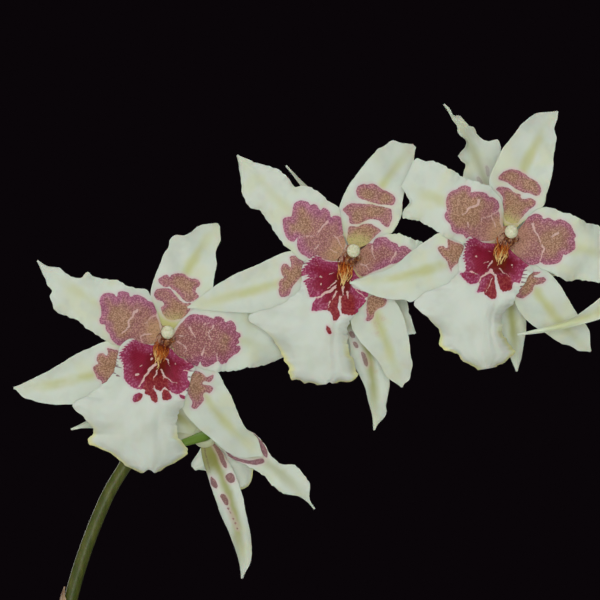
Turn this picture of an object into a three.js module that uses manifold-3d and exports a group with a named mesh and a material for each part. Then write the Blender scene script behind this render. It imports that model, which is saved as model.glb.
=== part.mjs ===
// A potted orchid: one arching spike of white, spotted blooms above strap leaves, pseudobulbs and bark.
// Millimetres, +Z up. The origin is the centre of the pot's base. The spike leans towards +X, and the
// blooms that face the viewer look along -Y.

import * as THREE from 'three';
import { mergeVertices } from 'three/addons/utils/BufferGeometryUtils.js';
import Module from 'manifold-3d';

const wasm = await Module();
wasm.setup();

// Driving dimensions

const GAP = 0.3;                 // left between pieces that touch
const PETAL_THICK = 0.9;
const LIP_THICK = 1.0;
const POINT = 0.4;               // half the width of a petal's pointed end

const POT_HEIGHT = 130;
const POT_TOP_RADIUS = 72;
const POT_BASE_RADIUS = 50;
const POT_WALL = 5;
const POT_FLOOR = 8;
const RIM_HEIGHT = 24;
const RIM_PROUD = 4;
const POT_SIDES = 32;
const DRAIN_RADIUS = 5;
const DRAIN_RING = 28;
const DRAIN_COUNT = 3;

const BARK_TOP = 116;            // level of the bark at the pot's wall
const BARK_CROWN = 6;            // how much higher it is in the middle

const BULB_SINK = 8;             // how deep a pseudobulb's foot lies in the bark
const LEAF_THICK = 1.1;

// The disc in the middle of each bloom that its petals grow from
const RECEPTACLE_RADIUS = 5.5;
const RECEPTACLE_TAPER = 0.85;
const RECEPTACLE_BACK = -3.5;
const RECEPTACLE_FRONT = 0.6;

// Helpers for closed meshes

function solidFrom(geometry) {
  const plain = geometry.clone();
  plain.deleteAttribute('normal');
  plain.deleteAttribute('uv');
  const merged = mergeVertices(plain, 1e-4);
  const vertProperties = Float32Array.from(merged.attributes.position.array);
  const triVerts = Uint32Array.from(merged.index.array);
  return new wasm.Manifold(new wasm.Mesh({ numProp: 3, vertProperties, triVerts }));
}

function geometryFrom(solid) {
  const mesh = solid.getMesh();
  const geometry = new THREE.BufferGeometry();
  geometry.setAttribute('position', new THREE.BufferAttribute(Float32Array.from(mesh.vertProperties), 3));
  geometry.setIndex(new THREE.BufferAttribute(Uint32Array.from(mesh.triVerts), 1));
  geometry.computeVertexNormals();
  return geometry;
}

function fuse(geometries) {
  return geometries.map(solidFrom).reduce((whole, piece) => whole.add(piece));
}

// A closed shell between two like grids of points, [row][column], split into the same triangles.
function shellBetween(top, bottom) {
  const rows = top.length;
  const columns = top[0].length;
  const points = [...top.flat(), ...bottom.flat()];
  const under = rows * columns;
  const at = (i, j) => i * columns + j;
  const faces = [];
  for (let i = 0; i < rows - 1; i += 1) {
    for (let j = 0; j < columns - 1; j += 1) {
      const [a, b, c, d] = [at(i, j), at(i + 1, j), at(i + 1, j + 1), at(i, j + 1)];
      faces.push(a, c, b, a, d, c);
      faces.push(under + a, under + b, under + c, under + a, under + c, under + d);
    }
  }
  const rim = [];
  for (let i = 0; i < rows - 1; i += 1) rim.push(at(i, 0));
  for (let j = 0; j < columns - 1; j += 1) rim.push(at(rows - 1, j));
  for (let i = rows - 1; i > 0; i -= 1) rim.push(at(i, columns - 1));
  for (let j = columns - 1; j > 0; j -= 1) rim.push(at(0, j));
  rim.forEach((a, k) => {
    const b = rim[(k + 1) % rim.length];
    faces.push(a, under + b, under + a, a, b, under + b);
  });
  const geometry = new THREE.BufferGeometry();
  const flat = new Float32Array(points.flatMap((p) => [p.x, p.y, p.z]));
  geometry.setAttribute('position', new THREE.BufferAttribute(flat, 3));
  geometry.setIndex(faces);
  return geometry;
}

// A closed, tapering round stem along a curve.
function stemAlong(curve, steps, sides, radiusAt) {
  const frames = curve.computeFrenetFrames(steps, false);
  const points = [];
  for (let i = 0; i <= steps; i += 1) {
    const centre = curve.getPointAt(i / steps);
    const radius = radiusAt(i / steps);
    for (let k = 0; k < sides; k += 1) {
      const turn = (2 * Math.PI * k) / sides;
      const point = centre.clone();
      point.addScaledVector(frames.normals[i], radius * Math.cos(turn));
      point.addScaledVector(frames.binormals[i], radius * Math.sin(turn));
      points.push(point);
    }
  }
  const faces = [];
  for (let i = 0; i < steps; i += 1) {
    for (let k = 0; k < sides; k += 1) {
      const a = i * sides + k;
      const b = i * sides + ((k + 1) % sides);
      faces.push(a, b, b + sides, a, b + sides, a + sides);
    }
  }
  const first = points.push(curve.getPointAt(0)) - 1;
  const last = points.push(curve.getPointAt(1)) - 1;
  for (let k = 0; k < sides; k += 1) {
    const next = (k + 1) % sides;
    faces.push(first, next, k);
    faces.push(last, steps * sides + k, steps * sides + next);
  }
  const geometry = new THREE.BufferGeometry();
  const flat = new Float32Array(points.flatMap((p) => [p.x, p.y, p.z]));
  geometry.setAttribute('position', new THREE.BufferAttribute(flat, 3));
  geometry.setIndex(faces);
  return geometry;
}

// Blooms
//
// Each petal, sepal or lip is drawn in its bloom's own plane: x to the right, y up, both from the middle of
// the bloom, and z towards the side that the bloom faces. Its midline runs from base to tip and bows to the
// left by bow. left and right are half widths at equal steps from the base, and the last one is the tip's.
// lift is the height of the midline at base, middle and tip; cup raises the two edges; ruffle and waves are
// the height and the number of the waves along each edge.

const LAYERS = {
  sepal: { lift: [-2.3, -1, -9], cup: 1.4, ruffle: 0.6, waves: 1.5, columns: 2 },
  petal: { lift: [-0.5, 4.5, -3.5], cup: -1, ruffle: 1.8, waves: 2.6, columns: 4 },
  lip: { lift: [1.6, 11, 5], cup: 0, ruffle: 1.8, waves: 3.2, columns: 6 },
};

// Half widths of an ordinary part, as shares of the widest
const SEPAL_SHAPE = [0.5, 0.82, 0.98, 1, 0.92, 0.72, 0.42, 0];
const PETAL_SHAPE = [0.6, 0.92, 1, 0.96, 1, 0.84, 0.66, 0.5, 0.24, 0];
const LIP_SHAPE = [0.5, 0.54, 0.5, 0.62, 0.9, 1, 0.86, 0.9, 0.6, 0];

function ordinary(layer, shape, tip, wide, bow = 0, more = {}) {
  const widths = shape.map((share) => Math.max(POINT, share * wide));
  const reach = Math.hypot(tip[0], tip[1]);
  const base = tip.map((part) => (3 * part) / reach);
  return { layer, base, tip, bow, left: widths, right: widths, ...more };
}
const sepal = (...rest) => ordinary('sepal', SEPAL_SHAPE, ...rest);
const petal = (...rest) => ordinary('petal', PETAL_SHAPE, ...rest);
const lipOf = (...rest) => ordinary('lip', LIP_SHAPE, ...rest);

const BLOOMS = {
  front_1: {
    at: [43.3, 0, 558.7],
    faces: 'viewer',
    tilt: [-0.06, 0.12],
    dorsal: { layer: 'sepal', base: [1.5, 3.5], tip: [23, 48.5], bow: 3.5,
      left: [5.5, 10.5, 11.5, 11.5, 12, 12, 7.5, 5.5, 0.4],
      right: [5, 8.5, 11, 13, 11.5, 10, 7.5, 5, 0.4] },
    left_petal: { layer: 'petal', base: [-1, 1], tip: [-53.5, 32.5], bow: 2.5,
      left: [6.5, 9.5, 11, 12, 11.5, 11, 10.5, 11, 12, 9.5, 5, 2.5, 0.4],
      right: [7, 11.5, 15, 13.5, 13, 12.5, 10.5, 9, 5, 3.5, 3.5, 1, 0.4] },
    right_petal: { layer: 'petal', base: [3, 1], tip: [51, -7.5], bow: 3,
      left: [7, 11, 13, 14.5, 14.5, 14, 12, 10, 6.5, 3.5, 0.4],
      right: [8, 12, 14, 14.5, 14.5, 13.5, 12, 10, 8, 5, 0.4] },
    left_sepal: { layer: 'sepal', base: [-3, -2.5], tip: [-64, -21], bow: 4.5,
      left: [5, 8, 10.5, 11.5, 11, 9.5, 8, 5.5, 0.4],
      right: [8, 10.5, 11.5, 11, 10.5, 8, 5.5, 3, 0.4] },
    right_sepal: { layer: 'sepal', base: [3, -3], tip: [41, -50], bow: -3.5,
      left: [5.5, 9, 11, 10, 9, 6.5, 4.5, 4.5, 0.4],
      right: [4.5, 7.5, 9.5, 10.5, 10, 9, 8.5, 6.5, 0.4] },
    lip: { layer: 'lip', base: [0, -3.5], tip: [-6.5, -56.5], bow: -3,
      left: [14.5, 14.5, 14.5, 14.5, 14, 13, 12, 11.5, 12.5, 14.5, 16.5, 13, 4],
      right: [16.5, 17.5, 17.5, 18, 21.5, 27, 32, 26.5, 23, 24.5, 15.5, 10.5, 4] },
  },
  front_2: {
    at: [120.8, -18, 592.6],
    faces: 'viewer',
    tilt: [0.04, 0.1],
    dorsal: { layer: 'sepal', base: [1.5, 4], tip: [27, 46.5], bow: 3,
      left: [7.5, 11, 12, 12, 11.5, 11, 10.5, 9.5, 1],
      right: [8, 12.5, 13.5, 13, 10.5, 8.5, 6.5, 4.5, 1] },
    left_petal: { layer: 'petal', base: [-1.5, 1.5], tip: [-47, 42.5], bow: 2,
      left: [8.5, 12, 13.5, 13, 12.5, 11.5, 10, 9, 11, 9.5, 6.5, 3, 0.4],
      right: [5, 9.5, 13.5, 13, 13, 13, 10.5, 9.5, 9, 7.5, 5, 2.5, 0.4] },
    right_petal: { layer: 'petal', base: [3.5, 0.5], tip: [45.5, -2], bow: -1,
      left: [7, 10, 11, 10.5, 9, 7.5, 6, 3.5, 0.4],
      right: [8, 9, 9.5, 10, 9.5, 9, 7, 4.5, 0.4] },
    left_sepal: { layer: 'sepal', base: [-3, -2], tip: [-68, -21], bow: 1,
      left: [7, 10.5, 12, 12, 10.5, 8, 5.5, 3, 0.4],
      right: [8, 10.5, 11.5, 10.5, 9.5, 8.5, 6.5, 3.5, 0.4] },
    right_sepal: { layer: 'sepal', base: [2, -3.5], tip: [22, -54.5], bow: 0.5,
      left: [4, 7.5, 9.5, 10.5, 10.5, 9.5, 8, 6.5, 0.4],
      right: [5, 8, 10, 11, 10, 7.5, 5.5, 4.5, 0.4] },
    lip: { layer: 'lip', base: [-1.5, -3], tip: [-9.5, -53], bow: -3.5,
      left: [10.5, 13, 13, 12, 10, 8.5, 8.5, 8.5, 9.5, 10.5, 12, 13, 4],
      right: [15, 16.5, 15, 15, 18, 24.5, 33.5, 26, 21, 18, 16, 14.5, 4] },
  },
  front_3: {
    at: [185.6, -38, 600.3],
    faces: 'viewer',
    tilt: [-0.04, 0.14],
    dorsal: { layer: 'sepal', base: [1.5, 4], tip: [21, 52.5], bow: 4,
      left: [6, 10.5, 12.5, 12, 11.5, 10, 9, 6.5, 0.4],
      right: [7.5, 12, 12, 12, 11, 9, 7, 4.5, 0.4] },
    left_petal: { layer: 'petal', base: [-2.5, 1.5], tip: [-43, 23], bow: -0.5,
      left: [8.5, 10.5, 11.5, 11.5, 12, 12.5, 13, 13.5, 14, 14.5, 15, 5, 2],
      right: [8, 12.5, 14, 15, 14, 13.5, 13, 13, 13.5, 13.5, 13, 11.5, 8] },
    right_petal: { layer: 'petal', base: [3.5, 1], tip: [56, -8.5], bow: -1,
      left: [10.5, 14, 14.5, 14, 13.5, 12.5, 11.5, 11, 10.5, 9, 7, 3.5, 0.4],
      right: [6.5, 8.5, 10.5, 11.5, 12.5, 13.5, 12.5, 12, 12, 11, 8.5, 4.5, 0.4] },
    left_sepal: { layer: 'sepal', lift: [-2.3, 0, -5], base: [-4, -2], tip: [-65, -18.5], bow: 3,
      left: [5.5, 8, 10, 11.5, 11, 10, 8.5, 5, 0.4],
      right: [7, 12, 13, 11.5, 9, 6.5, 4, 2, 0.4] },
    right_sepal: { layer: 'sepal', base: [2.5, -4], tip: [35.5, -47], bow: -3.5,
      left: [4.5, 7.5, 9, 9.5, 9, 8, 7, 6, 0.4],
      right: [5, 7.5, 9.5, 10.5, 9.5, 7.5, 6, 4.5, 0.4] },
    lip: { layer: 'lip', base: [-1.5, -3.5], tip: [-8, -54], bow: -4,
      left: [14.5, 14, 13.5, 12, 11.5, 10, 7.5, 7, 7, 9, 11, 11.5, 4],
      right: [14.5, 14.5, 13.5, 14.5, 18, 25, 30, 24, 20.5, 19.5, 16, 9.5, 4] },
  },
  front_4: {
    at: [250.8, -58, 580],
    faces: 'viewer',
    tilt: [-0.1, 0.12],
    dorsal: sepal([12, 52], 12, 2),
    left_petal: petal([-22, 34], 12, 2),
    right_petal: petal([54, 14], 14, -2),
    left_sepal: { layer: 'sepal', base: [-3, 2], tip: [-61.5, -19.5], bow: 3,
      left: [4, 3.5, 3, 2.5, 2, 1.5, 1, 0.4],
      right: [4, 3.5, 2.5, 2, 1.5, 1, 0.8, 0.4] },
    right_sepal: sepal([30, -46], 11, -3),
    lip: lipOf([-3, -50], 24, 0),
  },
  rear_1: {
    at: [59.7, 26, 517],
    faces: 'away',
    tilt: [-0.35, 0.3],
    stalk_bend: [8, -6],
    hang: { layer: 'sepal', base: [-0.5, -1.5], tip: [16, -59], bow: 4,
      left: [4, 5, 5.5, 5.5, 5, 5, 5, 4, 0.4],
      right: [4.5, 5.5, 6, 6, 5.5, 4, 2.5, 1, 0.4] },
    side: { layer: 'petal', base: [3, -0.5], tip: [46.5, -30], bow: 4,
      left: [6, 7.5, 8.5, 7.5, 5.5, 3.5, 3.5, 7, 6, 5.5, 1, 0.4],
      right: [3.5, 5, 5.5, 5.5, 5, 5, 5.5, 6, 5.5, 2, 0.6, 0.4] },
    back: { layer: 'petal', base: [-3.5, 0], tip: [-56.5, 3], bow: -2,
      left: [5, 8, 7.5, 6.5, 4, 1.5, 0.6, 0.4],
      right: [2.5, 5, 6, 7, 6.5, 5.5, 3, 0.4] },
    up: sepal([-2, 38], 5, 0),
    far: sepal([-36, 26], 9, 0),
    lip: { layer: 'lip', lift: [1.6, 10, 14], base: [0.5, -3.5], tip: [10.5, -21], bow: 0.5,
      left: [5, 7.5, 10, 11.5, 13, 3],
      right: [10, 10, 6, 5.5, 3.5, 2] },
  },
  rear_2: {
    at: [121.1, 14, 578.1],
    faces: 'away',
    tilt: [-0.1, 0.12],
    hang: { layer: 'sepal', base: [1, -4], tip: [10, -58], bow: 3,
      left: [2, 3, 4.5, 6, 7, 7, 5.5, 3.5, 0.4],
      right: [5.5, 6.5, 7, 7.5, 5.5, 3.5, 2.5, 1, 0.4] },
    up: { layer: 'petal', base: [-2, 3], tip: [-27, 53.5], bow: -3.5,
      left: [5, 6, 6, 5, 4, 2.5, 1.5, 0.4],
      right: [4, 5, 6, 5, 4.5, 2.5, 1, 0.4] },
    side: { layer: 'petal', base: [2.5, -1], tip: [27.5, -17.5], bow: 1.5,
      left: [3.5, 5.5, 6, 6.5, 8, 5, 2.5, 0.4],
      right: [4, 5.5, 6.5, 7, 7, 6.5, 5, 0.4] },
    high: sepal([14, 48], 9, 0),
    far: sepal([-40, -2], 9, 0),
    lip: lipOf([-14, -32], 15, 0),
  },
  rear_3: {
    at: [183.9, -2, 596.9],
    faces: 'away',
    tilt: [0.08, 0.12],
    hang: { layer: 'sepal', base: [1.5, -3.5], tip: [6.5, -52], bow: 0.5,
      left: [2.5, 3.5, 4.5, 5.5, 6, 5.5, 4, 2.5, 0.4],
      right: [3.5, 4.5, 5.5, 6, 5.5, 4.5, 2.5, 2, 0.4] },
    up: { layer: 'petal', base: [-2.5, 5], tip: [-23.5, 60], bow: -5,
      left: [5.5, 7, 8.5, 9, 8.5, 8, 6.5, 6, 1, 2, 1.5, 0.6, 0.4],
      right: [4, 5.5, 6.5, 6.5, 7, 8, 10.5, 10, 4.5, 3.5, 3, 1.5, 0.4] },
    high: sepal([15, 42], 9, 0),
    side: petal([42, -3], 11, 0),
    far: sepal([-33, 22], 9, 0),
    lip: lipOf([-13, -34], 16, 0),
  },
  rear_4: {
    at: [284.9, -14, 574.7],
    faces: 'away',
    tilt: [0.1, 0.12],
    dorsal: sepal([-6, 52], 12, 2),
    left_petal: petal([-48, 20], 14, 2),
    right_petal: petal([50, 18], 14, -2),
    left_sepal: sepal([-34, -40], 11, 3),
    right_sepal: sepal([32, -44], 11, -3),
    lip: lipOf([2, -50], 25, 0),
  },
};

const TEPAL_KEYS = ['dorsal', 'left_petal', 'right_petal', 'left_sepal', 'right_sepal',
  'hang', 'side', 'back', 'up', 'high', 'far'];

const ROOT_HALF = { sepal: 2.2, petal: 2.2, lip: 3.2 };

// The waves grow along each edge, and the two edges start at different points of a wave.
const RUFFLE_FROM = 0.15;
const RUFFLE_FULL = 0.55;
const PHASE_LEFT = 0.6;
const PHASE_RIGHT = 2.4;

// The height of the lip: side lobes stand up beside the column, and the apron is pleated.
const LOBE_RISE = 4.5;
const LOBE_AT = 0.12;
const LOBE_SPAN = 0.16;
const APRON_DROP = 4.5;
const APRON_FROM = 0.3;
const APRON_FULL = 0.6;
const PLEAT = 0.9;

// A bloom's tilt is the slope of its plane to the right and up. It starts clear of the middle.
const TILT_FROM = 4;
const TILT_FULL = 16;

function through([start, middle, end], t) {
  return start * (1 - t) * (1 - 2 * t) + 4 * middle * t * (1 - t) + end * t * (2 * t - 1);
}

// The height of a blade above its bloom's plane: t runs from base to tip, and v from -1 to 1 across.
function bladeHeight(layer, t, v) {
  const wave = Math.sin(2 * Math.PI * layer.waves * t + (v > 0 ? PHASE_LEFT : PHASE_RIGHT));
  const fade = Math.min(1, 4 * t) * Math.min(1, 5 * (1 - t) + 0.2);
  const frill = layer.ruffle * wave * THREE.MathUtils.smoothstep(t, RUFFLE_FROM, RUFFLE_FULL);
  const height = through(layer.lift, t) + v * v * fade * (layer.cup + frill);
  if (layer.layer !== 'lip') return height;
  const near = Math.max(0, 1 - Math.abs(t - LOBE_AT) / LOBE_SPAN);
  const drop = APRON_DROP * THREE.MathUtils.smoothstep(t, APRON_FROM, APRON_FULL);
  return height + (LOBE_RISE * near - drop) * v * v + PLEAT * fade * t * Math.cos(3 * Math.PI * v);
}

function bloomSurface(part, tilt) {
  const layer = { ...LAYERS[part.layer], ...part };
  const steps = part.left.length;
  const base = new THREE.Vector2(...part.base);
  const tip = new THREE.Vector2(...part.tip);
  const along = tip.clone().sub(base).normalize();
  const bend = new THREE.Vector2(-along.y, along.x).multiplyScalar(2 * part.bow);
  const middle = base.clone().add(tip).multiplyScalar(0.5).add(bend);
  const midline = new THREE.QuadraticBezierCurve(base, middle, tip);
  const half = layer.columns / 2;
  const grid = [];
  for (let i = 0; i <= steps; i += 1) {
    const t = i / steps;
    const centre = midline.getPoint(t);
    const tangent = midline.getTangent(t);
    const row = [];
    for (let j = half; j >= -half; j -= 1) {
      const v = j / half;
      const widths = v > 0 ? part.left : part.right;
      const reach = v * (i === 0 ? ROOT_HALF[part.layer] : widths[i - 1]);
      const x = centre.x - tangent.y * reach;
      const y = centre.y + tangent.x * reach;
      const out = THREE.MathUtils.smoothstep(Math.hypot(x, y), TILT_FROM, TILT_FULL);
      const z = bladeHeight(layer, t, v) + out * (tilt[0] * x + tilt[1] * y);
      row.push(new THREE.Vector3(x, y, z));
    }
    grid.push(row);
  }
  return grid;
}

function bladeGeometry(part, tilt, thick) {
  const grid = bloomSurface(part, tilt);
  const shifted = (by) => grid.map((row) => row.map((p) => new THREE.Vector3(p.x, p.y, p.z + by)));
  return shellBetween(shifted(thick / 2), shifted(-thick / 2));
}

function receptacle() {
  const depth = RECEPTACLE_FRONT - RECEPTACLE_BACK;
  const back = RECEPTACLE_RADIUS * RECEPTACLE_TAPER;
  const disc = new THREE.CylinderGeometry(RECEPTACLE_RADIUS, back, depth, 10);
  disc.rotateX(Math.PI / 2);
  disc.translate(0, 0, RECEPTACLE_BACK + depth / 2);
  return disc;
}

// The column: a short post with a rounded cap, and a bar across it for its two small wings. The profile is
// radius and share of the length.
const COLUMN_LENGTH = 12;
const COLUMN_SIDES = 6;
const COLUMN_PROFILE = [[0, 0], [1.9, 0], [1.8, 0.57], [2.6, 0.68], [2.7, 0.82], [1.8, 0.95], [0, 1]];
const COLUMN_LEAN = new THREE.Vector3(0.1, 0.28, 1).normalize();
const WING_SPREAD = 7;
const WING_HEIGHT = 3;
const WING_THICK = 1;
const WING_AT = 7;
const COLUMN_SEAT = 0.9;         // how far the leaning foot has to be raised to clear the disc

function column() {
  const outline = COLUMN_PROFILE.map(([r, share]) => new THREE.Vector2(r, share * COLUMN_LENGTH));
  const post = new THREE.LatheGeometry(outline, COLUMN_SIDES);
  const wings = new THREE.BoxGeometry(WING_SPREAD, WING_THICK, WING_HEIGHT);
  wings.translate(0, WING_AT, -0.6);
  const turn = new THREE.Quaternion().setFromUnitVectors(new THREE.Vector3(0, 1, 0), COLUMN_LEAN);
  post.applyQuaternion(turn);
  wings.applyQuaternion(turn);
  const geometry = geometryFrom(fuse([post, wings]));
  geometry.translate(0, 0.8, RECEPTACLE_FRONT + GAP + COLUMN_SEAT);
  return geometry;
}

const FINISH = {
  petal: { color: 0xe4e9dc, roughness: 0.5, metalness: 0 },
  lip: { color: 0xdccdd0, roughness: 0.5, metalness: 0 },
  column: { color: 0xd9dca6, roughness: 0.45, metalness: 0 },
  stem: { color: 0x5a6b2e, roughness: 0.5, metalness: 0 },
  bud: { color: 0xa9b56a, roughness: 0.5, metalness: 0 },
  bulb: { color: 0x74853c, roughness: 0.45, metalness: 0 },
  leaf: { color: 0x4d6a2c, roughness: 0.45, metalness: 0 },
  bark: { color: 0x6b4a30, roughness: 0.9, metalness: 0 },
  pot: { color: 0xb4643c, roughness: 0.85, metalness: 0 },
};

const plant = new THREE.Group();

function place(name, geometry, finish, parent = plant) {
  const mesh = new THREE.Mesh(geometry, new THREE.MeshStandardMaterial(FINISH[finish]));
  mesh.name = name;
  parent.add(mesh);
  return mesh;
}

// A bloom's plane stands upright. One that faces away is mirrored in depth, so its outline stays as drawn.
function mirrored(geometry) {
  const copy = geometry.clone();
  copy.scale(1, 1, -1);
  const index = copy.index;
  for (let k = 0; k < index.count; k += 3) {
    const a = index.getX(k);
    index.setX(k, index.getX(k + 1));
    index.setX(k + 1, a);
  }
  return copy;
}

function addBloom(name, bloom) {
  const group = new THREE.Group();
  group.position.set(...bloom.at);
  group.rotation.x = Math.PI / 2;
  plant.add(group);
  const turned = (geometry) => (bloom.faces === 'away' ? mirrored(geometry) : geometry);
  const tepals = TEPAL_KEYS.filter((key) => bloom[key]);
  const blades = tepals.map((key) => bladeGeometry(bloom[key], bloom.tilt, PETAL_THICK));
  place(`bloom_${name}_tepals`, turned(geometryFrom(fuse([receptacle(), ...blades]))), 'petal', group);
  place(`bloom_${name}_lip`, turned(bladeGeometry(bloom.lip, bloom.tilt, LIP_THICK)), 'lip', group);
  place(`bloom_${name}_column`, turned(column()), 'column', group);
}

Object.entries(BLOOMS).forEach(([name, bloom]) => addBloom(name, bloom));

// The spike: its stem, and a stalk to each bloom and bud

const SPIKE_ROUTE = [
  [0, 0, 112], [0.5, 0.5, 200], [-1, 2, 322], [-1.4, 5, 398], [0.5, 7, 432], [3.4, 8, 448.7],
  [10.1, 11, 471], [19.4, 13, 493.4], [27.3, 14, 506.7], [34, 15, 519], [43.3, 15.5, 534], [58, 13, 548.7], [74.8, 9, 558],
  [91.6, 4, 565.5], [108.4, 0, 572], [125.2, -4, 579], [142, -8, 587.3], [158.6, -12, 594],
  [179.3, -17, 598.5], [202, -20, 599.5], [224.6, -23, 596.3], [252.2, -29, 588], [281.7, -38, 577],
  [306.3, -48, 566], [322, -52, 555], [334, -55, 541],
];
const SPIKE_STEPS = 32;
const SPIKE_SIDES = 6;
const SPIKE_FOOT_RADIUS = 3.6;
const SPIKE_MID_RADIUS = 2.9;    // where the first bloom's stalk leaves
const SPIKE_TIP_RADIUS = 1.1;
const SPIKE_MID = 0.58;          // that place, as a share of the length

function spikeRadius(t) {
  if (t < SPIKE_MID) return THREE.MathUtils.lerp(SPIKE_FOOT_RADIUS, SPIKE_MID_RADIUS, t / SPIKE_MID);
  return THREE.MathUtils.lerp(SPIKE_MID_RADIUS, SPIKE_TIP_RADIUS, (t - SPIKE_MID) / (1 - SPIKE_MID));
}

const spikeCurve = new THREE.CatmullRomCurve3(SPIKE_ROUTE.map((p) => new THREE.Vector3(...p)));

// Where on the stem each stalk starts, as a point of the route
const STALK_STARTS = {
  front_1: 9, rear_1: 8, front_2: 14, rear_2: 13, front_3: 17, rear_3: 16, front_4: 21, rear_4: 22,
};
const STALK_STEPS = 5;
const STALK_SIDES = 6;
const STALK_RADIUS = 1.3;
const OVARY_RADIUS = 2.1;        // the thicker end behind the bloom
const STALK_NECK = 7;            // the straight stretch there
const NO_BEND = [0, 0];

function bloomStalk(name, bloom) {
  const sign = bloom.faces === 'away' ? -1 : 1;
  const start = new THREE.Vector3(...SPIKE_ROUTE[STALK_STARTS[name]]);
  const end = new THREE.Vector3(...bloom.at);
  end.y += sign * (GAP - RECEPTACLE_BACK);
  const neck = end.clone();
  neck.y += sign * STALK_NECK;
  const shoulder = start.clone().lerp(neck, 0.4);
  const [right, up] = bloom.stalk_bend ?? NO_BEND;
  shoulder.x += right;
  shoulder.z += up;
  const curve = new THREE.CubicBezierCurve3(start, shoulder, neck, end);
  const radiusAt = (t) => THREE.MathUtils.lerp(STALK_RADIUS, OVARY_RADIUS, t);
  return stemAlong(curve, STALK_STEPS, STALK_SIDES, radiusAt);
}

// Buds: pointed, a little flattened, at the end of the spike
const BUDS = [
  { name: 'bud_1', from: 23, at: [322, -62, 578], length: 23, radius: 6 },
  { name: 'bud_2', from: 24, at: [338, -42, 562], length: 18, radius: 5 },
  { name: 'bud_3', from: 25, at: [339, -57, 534], length: 13, radius: 3.8 },
];
const BUD_SHAPE = [[0, 0], [0.35, 0.02], [0.85, 0.22], [1, 0.45], [0.75, 0.72], [0.32, 0.92], [0, 1]];
const BUD_SIDES = 7;
const BUD_FLATTEN = 0.85;
const BUD_STALK_RADIUS = 1;
const BUD_NECK_RADIUS = 1.6;

function budDirection(bud) {
  const start = new THREE.Vector3(...SPIKE_ROUTE[bud.from]);
  return new THREE.Vector3(...bud.at).sub(start).normalize();
}

function budStalk(bud) {
  const start = new THREE.Vector3(...SPIKE_ROUTE[bud.from]);
  const end = new THREE.Vector3(...bud.at);
  const radiusAt = (t) => THREE.MathUtils.lerp(BUD_STALK_RADIUS, BUD_NECK_RADIUS, t);
  return stemAlong(new THREE.LineCurve3(start, end), 2, STALK_SIDES, radiusAt);
}

function budGeometry(bud) {
  const points = BUD_SHAPE.map(([r, h]) => new THREE.Vector2(r * bud.radius, h * bud.length));
  const geometry = new THREE.LatheGeometry(points, BUD_SIDES);
  geometry.scale(1, 1, BUD_FLATTEN);
  const direction = budDirection(bud);
  const turn = new THREE.Quaternion().setFromUnitVectors(new THREE.Vector3(0, 1, 0), direction);
  geometry.applyQuaternion(turn);
  const seat = new THREE.Vector3(...bud.at).addScaledVector(direction, GAP);
  geometry.translate(seat.x, seat.y, seat.z);
  return geometry;
}

// Bracts: short papery scales that clasp the stem, by their place as a share of its length
const BRACTS = [
  { at: 0.1, length: 26 }, { at: 0.2, length: 24 }, { at: 0.3, length: 22 }, { at: 0.405, length: 20 },
];
const BRACT_SIDES = 7;
const BRACT_CLEAR = 0.9;
const BRACT_FLARE = 0.8;
const BRACT_TIP = 0.6;           // how far a bract closes at its tip, as a share of its radius
const BRACT_ASIDE = 0.5;

function bractGeometry(bract, index) {
  const span = bract.length / spikeCurve.getLength();
  const places = [0, 0.5, 1].map((share) => spikeCurve.getPointAt(bract.at + share * span));
  const piece = new THREE.CatmullRomCurve3(places);
  const open = spikeRadius(bract.at) + BRACT_CLEAR;
  const radiusAt = (t) => (t === 1 ? open * BRACT_TIP : open + BRACT_FLARE * t);
  const geometry = stemAlong(piece, 2, BRACT_SIDES, radiusAt);
  geometry.translate(index % 2 === 0 ? -BRACT_ASIDE : BRACT_ASIDE, 0, 0);
  return geometry;
}

const stem = stemAlong(spikeCurve, SPIKE_STEPS, SPIKE_SIDES, spikeRadius);
const stalks = Object.entries(BLOOMS).map(([name, bloom]) => bloomStalk(name, bloom));
const spike = fuse([stem, ...stalks, ...BUDS.map(budStalk), ...BRACTS.map(bractGeometry)]);
place('flower_spike', geometryFrom(spike), 'stem');
BUDS.forEach((bud) => place(bud.name, budGeometry(bud), 'bud'));

// Pseudobulbs: flattened, ribbed ovals in a row, sunk a little in the bark

const BULBS = [
  { name: 'pseudobulb_1', at: [29, -6], turn: 0.25, height: 92, wide: 22, deep: 12, lean: 0.08 },
  { name: 'pseudobulb_2', at: [-28, 8], turn: -0.3, height: 96, wide: 22, deep: 12, lean: -0.08 },
  { name: 'pseudobulb_3', at: [-20, -26], turn: 0.3, height: 80, wide: 20, deep: 11, lean: -0.1 },
  { name: 'pseudobulb_4', at: [17, 31], turn: -0.2, height: 74, wide: 18, deep: 10, lean: 0.1 },
];
const BULB_SHAPE = [
  [0, 0], [0.5, 0], [0.8, 0.1], [0.98, 0.28], [0.94, 0.5], [0.7, 0.74], [0.44, 0.93], [0.34, 1], [0, 1],
];
const BULB_SIDES = 10;

function barkLevel(x, y) {
  const r = Math.min(1, Math.hypot(x, y) / POT_TOP_RADIUS);
  return BARK_TOP + BARK_CROWN * (1 - r * r);
}

// grow makes the larger body that leaves a gap where it is cut from the bark.
function bulbGeometry(bulb, grow) {
  const heightAt = (share) => (share === 0 ? -grow : share * (bulb.height + grow));
  const points = BULB_SHAPE.map(([r, share]) => new THREE.Vector2(r, heightAt(share)));
  const geometry = new THREE.LatheGeometry(points, BULB_SIDES);
  geometry.rotateX(Math.PI / 2);
  geometry.scale(bulb.wide + grow, bulb.deep + grow, 1);
  geometry.rotateZ(bulb.turn);
  geometry.rotateY(bulb.lean);
  const [x, y] = bulb.at;
  geometry.translate(x, y, barkLevel(x, y) - BULB_SINK);
  return geometry;
}

BULBS.forEach((bulb) => place(bulb.name, bulbGeometry(bulb, 0), 'bulb'));

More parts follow.
